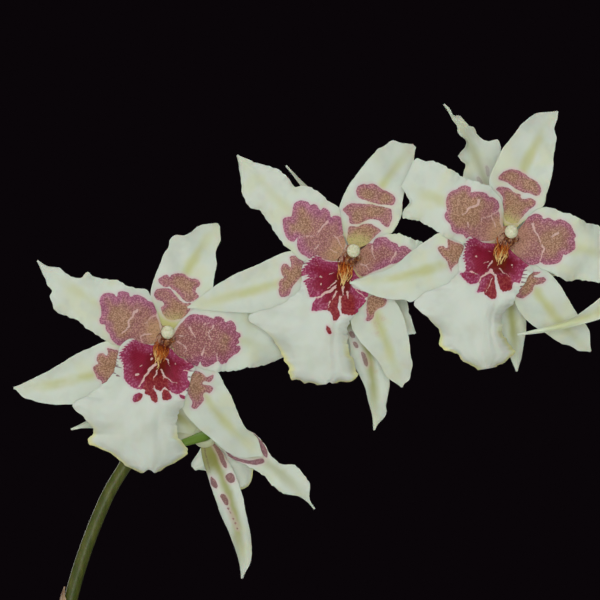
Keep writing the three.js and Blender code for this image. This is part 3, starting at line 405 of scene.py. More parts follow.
BLOOMS = {
    "front_1": {
        "at": [43.3, 0, 558.7],
        "faces": "viewer",
        "tilt": [-0.06, 0.12],
        "dorsal": blade("sepal", [1.5, 3.5], [23, 48.5], 3.5,
            [7, 10.5, 11.5, 11.5, 12, 12, 7.5, 5.5, 0.4],
            [5, 8.5, 11, 13, 11.5, 10, 7.5, 5, 0.4]),
        "left_petal": blade("petal", [-1, 1], [-53.5, 32.5], 2.5,
            [6.5, 9.5, 11, 12, 11.5, 11, 10.5, 11, 12, 9.5, 5, 2.5, 0.4],
            [7, 11.5, 15, 13.5, 13, 12.5, 10.5, 9, 5, 3.5, 3.5, 1, 0.4]),
        "right_petal": blade("petal", [3, 1], [51, -7.5], 3,
            [7, 11, 13, 14.5, 14.5, 14, 12, 10, 6.5, 3.5, 0.4],
            [8, 12, 14, 14.5, 14.5, 13.5, 12, 10, 8, 5, 0.4]),
        "left_sepal": blade("sepal", [-3, -2.5], [-64, -21], 4.5,
            [5, 8, 10.5, 11.5, 11, 9.5, 8, 5.5, 0.4],
            [8, 10.5, 11.5, 11, 10.5, 8, 5.5, 3, 0.4]),
        "right_sepal": blade("sepal", [3, -3], [41, -50], -3.5,
            [5.5, 9, 11, 10, 9, 6.5, 4.5, 4.5, 0.4],
            [4.5, 7.5, 9.5, 10.5, 10, 9, 8.5, 6.5, 0.4]),
        "lip": blade("lip", [0, -3.5], [-6.5, -56.5], -3,
            [14.5, 14.5, 14.5, 14.5, 14, 13, 12, 11.5, 12.5, 14.5, 16.5, 13, 4],
            [16.5, 17.5, 17.5, 18, 21.5, 27, 32, 26.5, 23, 24.5, 15.5, 10.5, 4]),
    },
    "front_2": {
        "at": [120.8, -18, 592.6],
        "faces": "viewer",
        "tilt": [0.04, 0.1],
        "dorsal": blade("sepal", [1.5, 4], [27, 46.5], 3,
            [7.5, 11, 12, 12, 11.5, 11, 10.5, 9.5, 1],
            [8, 12.5, 13.5, 13, 10.5, 8.5, 6.5, 4.5, 1]),
        "left_petal": blade("petal", [-1.5, 1.5], [-47, 42.5], 2,
            [8.5, 12, 13.5, 13, 12.5, 11.5, 10, 9, 11, 9.5, 6.5, 3, 0.4],
            [5, 9.5, 13.5, 13, 13, 13, 10.5, 9.5, 9, 7.5, 5, 2.5, 0.4]),
        "right_petal": blade("petal", [3.5, 0.5], [45.5, -2], -1,
            [7, 10, 11, 10.5, 9, 7.5, 6, 3.5, 0.4],
            [8, 9, 9.5, 10, 9.5, 9, 7, 4.5, 0.4]),
        "left_sepal": blade("sepal", [-3, -2], [-68, -21], 1,
            [7, 10.5, 12, 12, 10.5, 8, 5.5, 3, 0.4],
            [8, 10.5, 11.5, 10.5, 9.5, 8.5, 6.5, 3.5, 0.4]),
        "right_sepal": blade("sepal", [2, -3.5], [22, -54.5], 0.5,
            [4, 7.5, 9.5, 10.5, 10.5, 9.5, 8, 6.5, 0.4],
            [5, 8, 10, 11, 10, 7.5, 5.5, 4.5, 0.4]),
        "lip": blade("lip", [-1.5, -3], [-9.5, -53], -3.5,
            [10.5, 13, 13, 12, 10, 8.5, 8.5, 8.5, 9.5, 10.5, 12, 13, 4],
            [15, 16.5, 15, 15, 18, 24.5, 33.5, 26, 21, 18, 16, 14.5, 4]),
    },
    "front_3": {
        "at": [185.6, -38, 600.3],
        "faces": "viewer",
        "tilt": [-0.04, 0.14],
        "dorsal": blade("sepal", [1.5, 4], [21, 52.5], 4,
            [6, 10.5, 12.5, 12, 11.5, 10, 9, 6.5, 0.4],
            [7.5, 12, 12, 12, 11, 9, 7, 4.5, 0.4]),
        "left_petal": blade("petal", [-2.5, 1.5], [-43, 23], -0.5,
            [8.5, 10.5, 11.5, 11.5, 12, 12.5, 13, 13.5, 14, 14.5, 15, 5, 2],
            [8, 12.5, 14, 15, 14, 13.5, 13, 13, 13.5, 13.5, 13, 11.5, 8]),
        "right_petal": blade("petal", [3.5, 1], [56, -8.5], -1,
            [10.5, 14, 14.5, 14, 13.5, 12.5, 11.5, 11, 10.5, 9, 7, 3.5, 0.4],
            [6.5, 8.5, 10.5, 11.5, 12.5, 13.5, 12.5, 12, 12, 11, 8.5, 4.5, 0.4]),
        "left_sepal": blade("sepal", [-4, -2], [-65, -18.5], 3,
            [5.5, 8, 10, 11.5, 11, 10, 8.5, 5, 0.4],
            [7, 12, 13, 11.5, 9, 6.5, 4, 2, 0.4],
            lift=[-2.3, 0, -5]),
        "right_sepal": blade("sepal", [2.5, -4], [35.5, -47], -3.5,
            [4.5, 7.5, 9, 9.5, 9, 8, 7, 6, 0.4],
            [5, 7.5, 9.5, 10.5, 9.5, 7.5, 6, 4.5, 0.4]),
        "lip": blade("lip", [-1.5, -3.5], [-8, -54], -4,
            [14.5, 14, 13.5, 12, 11.5, 10, 7.5, 7, 7, 9, 11, 11.5, 4],
            [14.5, 14.5, 13.5, 14.5, 18, 25, 30, 24, 20.5, 19.5, 16, 9.5, 4]),
    },
    "front_4": {
        "at": [250.8, -58, 580],
        "faces": "viewer",
        "tilt": [-0.1, 0.12],
        "dorsal": plain("sepal", [12, 52], 12, 2),
        "left_petal": plain("petal", [-22, 34], 12, 2),
        "right_petal": plain("petal", [54, 14], 14, -2),
        "left_sepal": blade("sepal", [-3, 2], [-61.5, -19.5], 3,
            [4, 3.5, 3, 2.5, 2, 1.5, 1, 0.4],
            [6, 6.5, 6, 3.8, 1.7, 1, 0.8, 0.4]),
        "right_sepal": plain("sepal", [30, -46], 11, -3),
        "lip": plain("lip", [-3, -50], 24, 0),
    },
    "rear_1": {
        "at": [59.7, 26, 517],
        "faces": "away",
        "tilt": [-0.35, 0.3],
        "stalk_bend": [8, -6],
        "hang": blade("sepal", [-0.5, -1.5], [16, -59], 4,
            [4, 5, 5.5, 5.5, 5, 5, 5, 4, 0.4],
            [4.5, 5.5, 6, 6, 5.5, 4, 2.5, 1, 0.4]),
        "side": blade("petal", [3, -0.5], [46.5, -30], 4,
            [6, 7.5, 8.5, 7.5, 5.5, 3.5, 3.5, 7, 6, 5.5, 1, 0.4],
            [3.5, 5, 5.5, 5.5, 5, 5, 5.5, 6, 5.5, 2, 0.6, 0.4]),
        "back": blade("petal", [-3.5, 0], [-56.5, 3], -2,
            [5, 8, 7.5, 6.5, 4, 1.5, 0.6, 0.4],
            [2.5, 5, 6, 7, 6.5, 5.5, 3, 0.4]),
        "up": plain("sepal", [-2, 38], 5, 0),
        "far": plain("sepal", [-36, 26], 9, 0),
        "lip": blade("lip", [0.5, -3.5], [10.5, -21], 0.5,
            [5, 7.5, 10, 11.5, 13, 3],
            [10, 10, 6, 5.5, 3.5, 2],
            lift=[1.6, 10, 14]),
    },
    "rear_2": {
        "at": [121.1, 14, 578.1],
        "faces": "away",
        "tilt": [-0.1, 0.12],
        "hang": blade("sepal", [1, -4], [10, -58], 3,
            [2, 3, 4.5, 6, 7, 7, 5.5, 3.5, 0.4],
            [5.5, 6.5, 7, 7.5, 5.5, 3.5, 2.5, 1, 0.4]),
        "up": blade("petal", [-2, 3], [-27, 53.5], -3.5,
            [5, 6, 5, 3.5, 2, 0.5, 0.4, 0.4],
            [4, 5, 6, 5, 4.5, 2.5, 1, 0.4]),
        "side": blade("petal", [2.5, -1], [27.5, -17.5], 1.5,
            [3.5, 5.5, 6, 6.5, 8, 5, 2.5, 0.4],
            [4, 5.5, 6.5, 7, 7, 6.5, 5, 0.4]),
        "high": plain("sepal", [14, 48], 9, 0),
        "far": plain("sepal", [-40, -2], 9, 0),
        "lip": plain("lip", [-14, -32], 15, 0),
    },
    "rear_3": {
        "at": [183.9, -2, 596.9],
        "faces": "away",
        "tilt": [0.08, 0.12],
        "hang": blade("sepal", [1.5, -3.5], [6.5, -52], 0.5,
            [2.5, 3.5, 4.5, 5.5, 6, 5.5, 4, 2.5, 0.4],
            [3.5, 4.5, 5.5, 6, 5.5, 4.5, 2.5, 2, 0.4]),
        "up": blade("petal", [-2.5, 5], [-23.5, 60], -5,
            [5.5, 7, 8.5, 9, 8.5, 8, 6.5, 6, 1, 2, 1.5, 0.6, 0.4],
            [4, 5.5, 6.5, 6.5, 7, 8, 10.5, 10, 4.5, 3.5, 3, 1.5, 0.4]),
        "high": plain("sepal", [15, 42], 9, 0),
        "side": plain("petal", [42, -3], 11, 0),
        "far": plain("sepal", [-33, 22], 9, 0),
        "lip": plain("lip", [-13, -34], 16, 0),
    },
    "rear_4": {
        "at": [284.9, -14, 574.7],
        "faces": "away",
        "tilt": [0.1, 0.12],
        "dorsal": plain("sepal", [-6, 52], 12, 2),
        "left_petal": plain("petal", [-48, 20], 14, 2),
        "right_petal": plain("petal", [50, 18], 14, -2),
        "left_sepal": plain("sepal", [-34, -40], 11, 3),
        "right_sepal": plain("sepal", [32, -44], 11, -3),
        "lip": plain("lip", [2, -50], 25, 0),
    },
}
PARTS = ["dorsal", "left_petal", "right_petal", "left_sepal", "right_sepal",
         "hang", "side", "back", "up", "high", "far"]
GREEN_AT_FOOT = ("dorsal", "hang")

# The blooms' markings

# They are drawn on squares of MARK from the middle of the bloom, x to the right and y down. A patch is drawn
# by its zones, whose outlines are smooth curves through their points, or by spots of x, y and radius. Tans
# are spots where a patch is tan and not rose, and stains are faint spots beside it. A crack or a stroke is
# half its width and the points of a pale or a dark line, and the crest is its two ends. Mauve, deep and faint
# are how mauve a patch's rim is, how dark its rose is, and how much it fades. An empty entry leaves a part
# bare, and a part without one gets plain marks of the same kind.

MARK = 0.42

MARKS = {
    ("front_1", "left_petal"): {
        "tans": [(-47, -17, 15), (-11, -7, 7)],
        "zones": [
            [(-63.5, -41.5), (-65, -36), (-63.5, -30.5), (-63, -24), (-65, -19), (-64, -14.5), (-59.5, -13),
             (-58.5, -8), (-55, -4), (-53.5, 1), (-50, 4.5), (-45.5, 8.5), (-39, 10), (-25, 12), (-8, 8),
             (-3, -1), (-5, -10), (-6.5, -17), (-8.5, -21.5), (-7.5, -29), (-9.5, -33), (-13, -36),
             (-16.5, -37.5), (-21, -41), (-26, -43), (-30.5, -43.5), (-34, -41.5), (-36, -45.5),
             (-41.5, -47), (-46.5, -45.5), (-47.5, -41.5), (-51, -44.5), (-55.5, -45.5), (-60.5, -44.5)],
        ],
        "cracks": [(1.1, (-27, -28), (-30.5, -25.5), (-32, -21.5), (-36.5, -16.5), (-35.5, -11.5),
            (-39.5, -7.5), (-42.5, -5)), (0.6, (-8.5, -23), (-14.5, -20.5), (-18, -16), (-17, -12)),
            (0.6, (-18, -16), (-21.5, -14)),
            (0.7, (-14, -4), (-20.5, -4), (-24.5, -1.5), (-23.5, 3), (-19.5, 6))],
    },
    ("front_1", "right_petal"): {
        "tans": [(60, -2, 9)],
        "deep": 1.0,
        "zones": [
            [(11, -7), (14, -12.5), (19.5, -18), (23, -22), (28.5, -24), (36, -23.5), (43, -22),
             (48.5, -19.5), (50.5, -21.5), (55, -21.5), (59, -19.5), (60.5, -16), (65.5, -18), (69.5, -15),
             (71.5, -10.5), (71, -7), (75, -5), (76, -2), (73.5, 1), (74.5, 4.5), (71, 7), (75, 8),
             (75.5, 11), (73.5, 14.5), (68.5, 17.5), (64, 21), (61, 25), (56, 26), (53, 23), (48.5, 26),
             (41.5, 29), (36.5, 27), (35.5, 23), (32.5, 28), (25, 30), (11, 24), (1, 14), (5, 2)],
        ],
        "cracks": [(1.1, (24.5, -11), (27, -6), (31, 0)),
            (0.7, (49, -12.5), (46.5, -8.5), (43.5, -6), (44, -2.5), (46.5, 2)),
            (0.9, (37, 17), (38.5, 12), (40.5, 7.5)), (0.7, (52.5, 22.5), (52, 18), (52.5, 14.5)),
            (0.5, (39, -13.5), (45, -15.5)), (0.6, (11.5, 3), (17, 6), (21, 9.5), (21, 13.5), (18.5, 15)),
            (0.5, (14, -2.5), (19.5, -2), (24, -4.5))],
    },
    ("front_1", "left_sepal"): {
        "tans": [(-58, 26, 14)],
        "zones": [
            [(-58, 10), (-54, 10.5), (-44, 14), (-43, 24), (-48, 34), (-53, 39), (-54, 44), (-54.5, 48),
             (-59.5, 49.5), (-63, 47), (-63.5, 43), (-67.5, 41), (-70, 35.5), (-72, 30), (-69.5, 26.5),
             (-66.5, 25.5), (-68.5, 22), (-67, 16.5), (-62, 15), (-58.5, 17.5), (-57, 14.5)],
        ],
    },
    ("front_1", "dorsal"): {
        "tans": [(16, -52, 8), (25, -51, 9), (14, -28, 14)],
        "zones": [
            [(-6.5, -58), (-4, -61), (1.5, -63.5), (5, -61), (7, -63.5), (13, -65), (19.5, -64), (25, -60),
             (31, -59.5), (35, -56.5), (35, -52.5), (31.5, -49.5), (31, -46), (34, -41.5), (28.5, -37),
             (23.5, -36), (19, -37.5), (15.5, -41.5), (11, -46.5), (7, -49.5), (4.5, -51.5), (0.5, -51),
             (-4, -53.5)],
            [(-11, -44), (-8.5, -48.5), (-3, -50), (5, -49.3), (9, -45), (13, -40.3), (17, -36.5),
             (21, -35), (26, -35), (25, -28), (19, -21), (14, -19), (5, -18), (-1, -22), (-3.5, -27),
             (-4, -30.5), (-1, -33.5), (-3, -37), (-7.5, -38), (-9.5, -40.5)],
        ],
    },
    ("front_1", "right_sepal"): {
        "tans": [(31, 47, 15)],
        "zones": [
            [(23, 32), (33.5, 33.5), (37.5, 35.5), (41.5, 39), (48, 36.5), (48, 40.5), (45, 44),
             (39.5, 43.5), (37.5, 46), (46, 48), (48, 51), (45, 55.5), (40.5, 54.5), (37.5, 57.5), (39, 62),
             (35, 67), (30.5, 71), (26, 69), (27, 64), (23, 56), (21, 42)],
        ],
    },
    ("front_1", "lip"): {
        "zones": [
            [(-39, 8), (-32, 2), (-27, 0), (-23, 4), (-11, 7), (-6, 4), (3, 7), (9, 12), (16, 16), (22, 18),
             (27, 17), (30, 21), (31, 27), (24, 33), (23, 40), (26, 46), (19, 53), (12, 56), (0, 50),
             (-4, 53), (-12, 50), (-14, 57), (-20, 55), (-20, 51), (-30, 50), (-40, 41), (-41, 27),
             (-45, 17), (-42, 12)],
            [(-32, 62), (-30.5, 57), (-26, 54.5), (-22, 55.5), (-22, 59), (-26, 63), (-29.5, 64)],
            [(-14.5, 56.5), (-13, 50), (-9.5, 52), (-7, 57.5), (-7, 63), (-9.5, 64), (-13, 61.5)],
            [(-3, 55), (-1.5, 51.5), (2, 51), (7.5, 58.5), (4.5, 61.5), (1.5, 62), (-1.5, 61.5)],
            [(14.5, 56), (18.5, 56.5), (21.5, 60), (18.5, 61), (15.5, 59)],
        ],
        "cracks": [(1.7, (-9, 26), (-14.5, 30.5), (-16, 33.5), (-20, 38.5), (-22, 43), (-26, 49)),
            (1.1, (-7.5, 32), (-8, 35), (-10.5, 39), (-11.5, 42.5)),
            (0.8, (-10.5, 48), (-9.5, 51), (-7, 56), (-6, 62)),
            (1.2, (-3.5, 31.5), (-2, 34.5), (-1, 37.5), (5, 41.5), (8, 44), (12, 44.5)),
            (0.7, (-1, 37.5), (-1, 42)), (0.8, (1, 20), (3.5, 22.5), (4.5, 26.5), (7.5, 32)),
            (0.9, (-0.5, 49.5), (3.5, 52), (9, 57.5)), (0.9, (-0.5, 49.5), (-3, 54), (-4, 57.5)),
            (0.8, (19, 20.5), (22.5, 17), (27, 16.5), (30, 19.5), (31.5, 26)), (0.7, (19, 21), (23, 24.5)),
            (0.8, (19, 32), (24, 33), (24, 38)), (1.9, (-12.5, 20.5), (-12.3, 20.5)),
            (0.8, (-14.5, 16.5), (-13, 15)), (0.9, (-24, 28), (-22, 26.5)), (1.6, (-28, 36.5), (-25.5, 36)),
            (0.8, (10.5, 25.5), (11.5, 26.5)), (0.6, (-26, 4), (-22, 11)), (0.5, (-30, 5), (-28.5, 8)),
            (0.5, (-34, 3), (-32, 6))],
        "strokes": [(0.8, (-48, 19.5), (-44, 21)), (0.7, (-48.5, 22.5), (-45, 24)),
            (0.6, (-48.5, 25), (-46, 26.5)), (0.9, (-49, 27.5), (-43, 29.5)),
            (0.8, (-50.5, 34.5), (-47.5, 36)), (1, (-47.5, 37), (-44, 38)), (0.8, (25.5, 29.5), (30, 28.5)),
            (0.7, (25, 32.5), (30, 33)), (0.8, (24, 38.5), (27, 39)), (0.9, (18, 48), (22, 48)),
            (1, (22.5, 52), (27, 53))],
        "crest": [(-2, 3), (-7, 30)],
    },
    ("front_2", "left_petal"): {
        "tans": [(-48, -35, 13), (-15, -5, 8)],
        "zones": [
            [(-67, -38), (-63, -40), (-58.5, -40.5), (-57.5, -46.5), (-56, -52.5), (-52.5, -55.5),
             (-47, -56.5), (-41.5, -54.5), (-39.5, -52), (-36, -53), (-32.5, -51), (-29.5, -46.5),
             (-27, -49), (-23, -48), (-20, -44.5), (-19, -39.5), (-16.5, -41), (-11.5, -41), (-7.5, -38),
             (-5, -32), (-5, -26.5), (-7.5, -22), (-4.5, -21), (-4, -15), (-6, -7), (-9, 5), (-25, 7),
             (-35, 5), (-44, -0.5), (-49.5, -4), (-52.5, -9.5), (-53, -15.5), (-53, -19), (-56, -15),
             (-62, -17.5), (-65.5, -24), (-67, -32)],
        ],
        "cracks": [(1, (-22, -35.5), (-27, -31), (-29.5, -27.5), (-33, -22.5)),
            (0.6, (-54, -18.5), (-47, -20.5), (-37, -21), (-33, -22.5)), (0.7, (-35.5, -7.5), (-30.5, -13)),
            (0.6, (-17, -21.5), (-12.5, -19), (-10, -12.5), (-7, -8)),
            (0.6, (-5, -23), (-10.5, -21), (-12.5, -19)), (0.5, (-19.5, -7.5), (-12.5, -4))],
    },
    ("front_2", "right_petal"): {
        "tans": [(12, 4, 1)],
        "deep": 0.6,
        "zones": [
            [(6, 5), (8, -3), (13, -11), (18.5, -14), (22.5, -13.5), (25, -18), (30.5, -20), (36.5, -19.5),
             (41, -15.5), (47.5, -13), (48.5, -10), (53, -11.5), (58.5, -9), (62, -5.5), (60, -1.5),
             (53, 2.5), (46, 6.5), (41, 7), (34, 10.5), (25, 14), (19.5, 16.5), (14, 19), (8, 19), (3, 12)],
        ],
        "cracks": [(0.7, (22, -11), (22.5, -4.5), (25.5, 2.5)), (0.9, (46, -4.5), (43, 0), (40, 5.5)),
            (0.7, (10.5, 7), (16, 8.5), (19.5, 13.5)), (0.6, (16, 8.5), (21, 5))],
    },
    ("front_2", "left_sepal"): {
        "tans": [(-59, 20, 16)],
        "zones": [
            [(-60, 0), (-55, -1.5), (-50.5, 1), (-46, 5), (-45, 15), (-51, 22), (-56, 28), (-58.5, 32),
             (-60.5, 38), (-66, 40), (-70, 39), (-71.5, 33.5), (-70.5, 30), (-71.5, 26.5), (-68.5, 22),
             (-66, 20.5), (-68.5, 17), (-69, 11), (-66.5, 6.5), (-62, 7.5), (-59.5, 10), (-59, 5.5)],
        ],
    },
    ("front_2", "dorsal"): {
        "tans": [(20, -63, 8), (33, -59, 7), (7, -44, 9), (22, -46, 9), (14, -24, 15)],
        "zones": [
            [(6, -65.5), (7.5, -70), (13, -73), (18, -72.5), (21, -73.5), (26.5, -72), (31, -68.5),
             (38.5, -65), (44, -61), (45.5, -56.5), (43, -52), (37.5, -52), (29.5, -52.5), (20.5, -55),
             (14, -57), (8.5, -59.5)],
            [(-7, -47), (-4, -51), (2, -54), (8, -53.5), (18.5, -53), (25, -52), (34, -50), (41, -48),
             (42, -43), (42, -37.5), (39.5, -32), (37.5, -29.5), (32.5, -32.5), (30, -35.5), (25, -37.5),
             (19.5, -37.5), (13, -35), (9, -33), (0, -33.5), (-1, -39.5), (-4, -43.5)],
            [(0, -31), (7.5, -30.5), (13, -33), (19.5, -33.5), (24, -31.5), (31, -27), (29.5, -24.5),
             (23, -18.5), (17.5, -13), (13, -9), (5, -11), (-2.5, -15), (-2.5, -21), (-2, -26.5)],
        ],
    },
    ("front_2", "right_sepal"): {
        "tans": [(24, 50, 11)],
        "stains": [(27, 67, 5), (33, 62, 4), (27, 76, 4)],
        "zones": [
            [(18, 41), (22, 38.5), (27.5, 37.5), (34, 39.5), (37, 43.5), (34.5, 49), (28.5, 51.5),
             (25, 55.5), (23.5, 60.5), (19.5, 64), (15.5, 63), (17, 59), (16.5, 52)],
        ],
    },
    ("front_2", "lip"): {
        "zones": [
            [(-35, -1), (-29, 0), (-25, 3), (-11, 5), (-5, 1), (1, 10), (12, 19), (4, 23), (2, 27), (4, 31),
             (23, 38), (15, 41), (16, 45), (6, 57), (-8, 56), (-10, 43), (-12, 50), (-10, 59), (-16, 64),
             (-19, 56), (-25, 53), (-38, 54), (-37, 46), (-34, 40), (-40, 40), (-44, 28), (-46, 24),
             (-41, 19), (-50, 18), (-44, 8)],
            [(-23, 68), (-20, 71), (-18, 76), (-21, 77), (-24, 73)],
        ],
        "cracks": [(1.5, (-15, 30), (-20, 34.5), (-25, 35.5), (-29, 39.5), (-37, 41.5)),
            (0.9, (-13.5, 24), (-17.5, 27.5), (-22.5, 31.5)), (0.6, (-13, 27), (-19, 31.5)),
            (1.2, (-13.5, 34.5), (-16.5, 40), (-17.5, 42.5)), (0.8, (-20, 44), (-21.5, 49.5), (-23, 53)),
            (1.4, (-7, 30), (-7, 38)), (1.6, (-9.5, 40), (-10.5, 44), (-9.5, 50.5), (-9, 58)),
            (1.2, (-3, 34.5), (-1.5, 42)), (0.8, (0, 24), (2.5, 30)), (0.9, (5.5, 33), (11, 37), (17, 41)),
            (1.1, (-29.5, 19.5), (-27.5, 20.5)), (1.1, (-29, 27), (-28.5, 26)),
            (0.7, (-21, 17), (-15, 15.5)), (0.6, (-33, 8), (-31, 10)), (0.6, (-40, 22), (-34, 20)),
            (0.6, (-28, 2), (-23, 4), (-12, 4.5)), (0.5, (-36, 3), (-33, 7))],
        "strokes": [(0.8, (-47, 7), (-41.5, 5.5)), (0.8, (-48, 12.5), (-41.5, 10)),
            (0.8, (-49.5, 16), (-42.5, 14)), (0.8, (-51, 18.5), (-49, 20.5)),
            (0.8, (-59.5, 36), (-56.5, 38.5)), (0.8, (15, 48), (19.5, 47.5)),
            (0.8, (14, 43.5), (20.5, 44.5))],
        "crest": [(-3.5, 0), (-7, 31)],
    },
    ("front_3", "left_petal"): {
        "tans": [(-44, -30, 19)],
        "mauve": 0.6,
        "zones": [
            [(-61, -40.5), (-57, -46), (-51, -48.5), (-47.5, -51), (-42, -52.5), (-37, -50), (-36.5, -45.5),
             (-33, -46), (-26, -46), (-20.5, -44), (-18, -41), (-14, -40.5), (-9.5, -36.5), (-8, -31.5),
             (-9, -27), (-7.5, -24), (-7.5, -16), (-5, -8), (-13, 2), (-37, 3), (-42, 0), (-45, -3.5),
             (-50.5, -4), (-55.5, -7), (-57, -12.5), (-58.5, -14.5), (-62.5, -19), (-63, -23.5), (-61, -27),
             (-61.5, -33.5)],
        ],
        "cracks": [(1.1, (-29, -38), (-29, -33.5), (-34, -31), (-39, -30), (-40.5, -26), (-45.5, -23)),
            (0.7, (-7.5, -28), (-14.5, -24), (-18.5, -21), (-25.5, -20), (-26, -15.5)),
            (0.6, (-16.5, -22), (-13, -15), (-11.5, -11)), (0.8, (-39.5, -15), (-39, -10))],
    },
    ("front_3", "right_petal"): {
        "tans": [(46, 2, 15)],
        "mauve": 0.65,
        "deep": 0.5,
        "zones": [
            [(7, 0), (9, -10), (12, -15.5), (17, -19.5), (22.5, -22), (28, -24.5), (34.5, -22.5), (36, -19),
             (41.5, -20.5), (46.5, -17.5), (52.5, -19), (58.5, -16.5), (63.5, -12.5), (66, -7),
             (68.5, -2.5), (67, 1), (68, 5), (67.5, 11), (63, 14.5), (58, 17), (56, 16.5), (55, 20),
             (51.5, 25), (45, 26.5), (37, 26.5), (33, 24), (31, 25.5), (24, 27), (15, 25), (4, 14)],
        ],
        "cracks": [(1.1, (25.5, -14), (27.5, -7), (31, -2.5), (33, 4)),
            (1, (50.5, -5), (46, -2.5), (43, -1)), (0.9, (34.5, 7.5), (37, 11), (34.5, 16.5), (33, 23.5))],
    },
    ("front_3", "left_sepal"): {
        "tans": [(-56, 14, 18)],
        "zones": [
            [(-59.5, 1), (-55, 3), (-44, 7.5), (-42, 16), (-48, 24), (-54, 29), (-56, 33.5), (-58, 29),
             (-60, 23), (-64, 19), (-69, 12), (-68.5, 8.5), (-64, 8), (-61, 10), (-59.5, 7.5)],
        ],
    },
    ("front_3", "dorsal"): {
        "tans": [(6, -61, 8), (20, -54, 9), (8, -36, 16)],
        "zones": [
            [(-8.5, -58), (-8.5, -61.5), (-4, -66), (2.5, -68.5), (9.5, -68), (16, -65), (22, -60.5),
             (28.5, -57), (32.5, -52), (34, -47), (32, -43), (28, -42), (22.5, -44.5), (16, -45.5),
             (8, -49.5), (2.5, -53.5), (-3, -56.5)],
            [(-11.5, -48.5), (-8.5, -51), (-2, -51), (3, -49), (7.5, -45), (13, -44), (14, -40), (18, -39),
             (23, -40), (28, -37), (28, -33), (23, -29), (18.5, -24.5), (14, -19.5), (10, -15), (1, -16),
             (-3.5, -22), (-3.5, -28), (-5, -33.5), (-4.5, -40.5), (-7.5, -44.5)],
        ],
    },
    ("front_3", "right_sepal"): {
        "tans": [(22, 46, 14)],
        "zones": [
            [(15, 30), (21.5, 31), (27, 33.5), (34, 34), (30.5, 36.5), (27, 38), (31.5, 39.5), (37, 39),
             (39.5, 42), (36, 45.5), (31.5, 46.5), (27.5, 47.5), (25.5, 53), (21.5, 57), (16, 60.5),
             (10.5, 59), (7.5, 57), (12, 53), (13, 42)],
        ],
    },
    ("front_3", "lip"): {
        "zones": [
            [(-41, 4), (-38, 1), (-30, -2), (-21, 2), (-8, 2), (3, 7), (11, 14), (24, 17), (26, 25),
             (18, 30), (15, 36), (12, 45), (6, 44), (4, 51), (-1, 53), (-6, 53), (-10, 45), (-12, 38),
             (-13, 42), (-11, 58), (-16, 61), (-23, 56), (-24, 54), (-31, 54), (-28, 45), (-38, 46),
             (-48, 36), (-43, 34), (-42, 26), (-44, 20)],
        ],
        "cracks": [(1, (-15, 23), (-19, 28), (-20.5, 30)), (0.8, (-19, 23.5), (-24.5, 25)),
            (2.3, (-16.5, 33), (-13.5, 37)), (1.2, (-18, 34), (-26, 38.5), (-30.5, 47.5), (-32, 52)),
            (1.5, (-12, 37.5), (-10.5, 44.5), (-8.5, 54)), (0.7, (-15.5, 40), (-19, 49), (-22.5, 55)),
            (0.8, (-8, 30), (-5, 34), (-1, 36.5), (3.5, 40.5)), (1.1, (4.5, 27), (5, 29)),
            (1.1, (-31.5, 18.5), (-30, 19.5)), (0.7, (-19, 13), (-17, 13.5)),
            (1, (-37.5, 33.5), (-29, 36.5)), (0.7, (14.5, 19), (18, 19)),
            (0.7, (16.5, 16.5), (22.5, 16.5), (25, 21.5), (25, 25)),
            (0.6, (-27, -1), (-22, 1), (-15.5, 0.5), (-9, 2)), (0.6, (-38, 8), (-31, 7.5))],
        "strokes": [(0.9, (-43.5, 6), (-41, 10)), (0.8, (-48, 9.5), (-44.5, 11)),
            (0.9, (-48.5, 14), (-45.5, 17.5)), (0.8, (-50, 19), (-47, 18.5)), (0.8, (15, 33), (19.5, 32)),
            (0.8, (14, 36.5), (19.5, 36.5)), (0.8, (12.5, 39.5), (19, 40)), (0.8, (14, 44), (18, 44.5)),
            (0.8, (13, 48.5), (17, 48))],
        "crest": [(-3.5, 1), (-9.5, 29)],
    },
    ("front_4", "left_sepal"): {},
    ("rear_1", "hang"): {
        "zones": [
            [(6, 2), (11, 6), (16, 13.5), (19.5, 22), (22.5, 29.5), (20.5, 32), (16.5, 27.5), (13.5, 20),
             (10, 13), (6.5, 7)],
            [(22, 38), (26, 36), (29.5, 39), (30, 44), (27, 46.5), (23, 45), (20.5, 41)],
            [(6, 40.5), (9.5, 42.5), (13, 48), (12, 52), (8, 50.5), (5.5, 46)],
            [(15, 58.5), (19, 57), (23, 62), (24, 67.5), (20.5, 68), (17, 63)],
        ],
        "spots": [(23.5, 71.5, 2), (26, 76, 1.8), (28.5, 81, 1.9), (31, 86, 1.7), (33, 91, 1.6)],
        "strokes": [(0.9, (-1, 8), (0.5, 18), (4, 30), (5.5, 37))],
    },
    ("rear_1", "side"): {
        "zones": [
            [(47, -4), (53, 1), (58.5, 7.5), (62.5, 15.5), (62, 21.5), (57, 18), (53.5, 11), (49, 4)],
            # The second zone is a dark purple line along the tip of front_1's right sepal, where that sepal
            # lies over this petal: painted shadow of the sepal's edge, as well as purple marking.
            [(20, 14), (26, 18.5), (34, 22), (45, 24), (57, 22), (59.5, 26), (51, 28.5), (43, 27.5),
             (33, 25), (25, 21.5)],
        ],
    },
    ("rear_1", "back"): {},
    ("rear_1", "up"): {},
    ("rear_1", "far"): {},
    ("rear_1", "lip"): {
        "zones": [
            [(3, 9), (12, 10), (22, 22), (18, 32), (9, 28)],
        ],
        "crest": [(5, 13), (12, 27)],
    },
    ("rear_2", "hang"): {
        "faint": 0.15,
        "stains": [(22, 72, 3), (25, 80, 3), (28, 89, 2.5)],
        "zones": [
            [(-1, 40), (2, 39), (4.5, 42), (5, 45.5), (2.5, 46), (0, 44)],
            [(3, 49.5), (6, 50), (8.5, 53.5), (8, 56), (5, 55.5), (3, 52.5)],
            [(11, 60), (14, 60.5), (16.5, 65), (18, 70), (17, 75), (14, 72), (12, 66)],
        ],
    },
    ("rear_2", "up"): {},
    ("rear_2", "side"): {},
    ("rear_3", "up"): {
        "faint": 0.6,
        "zones": [
            [(-14, -82), (-11, -81), (-9.5, -75), (-11, -70), (-13, -73)],
            [(-22.5, -71), (-18.5, -69), (-16, -62), (-18.5, -60), (-22, -64)],
        ],
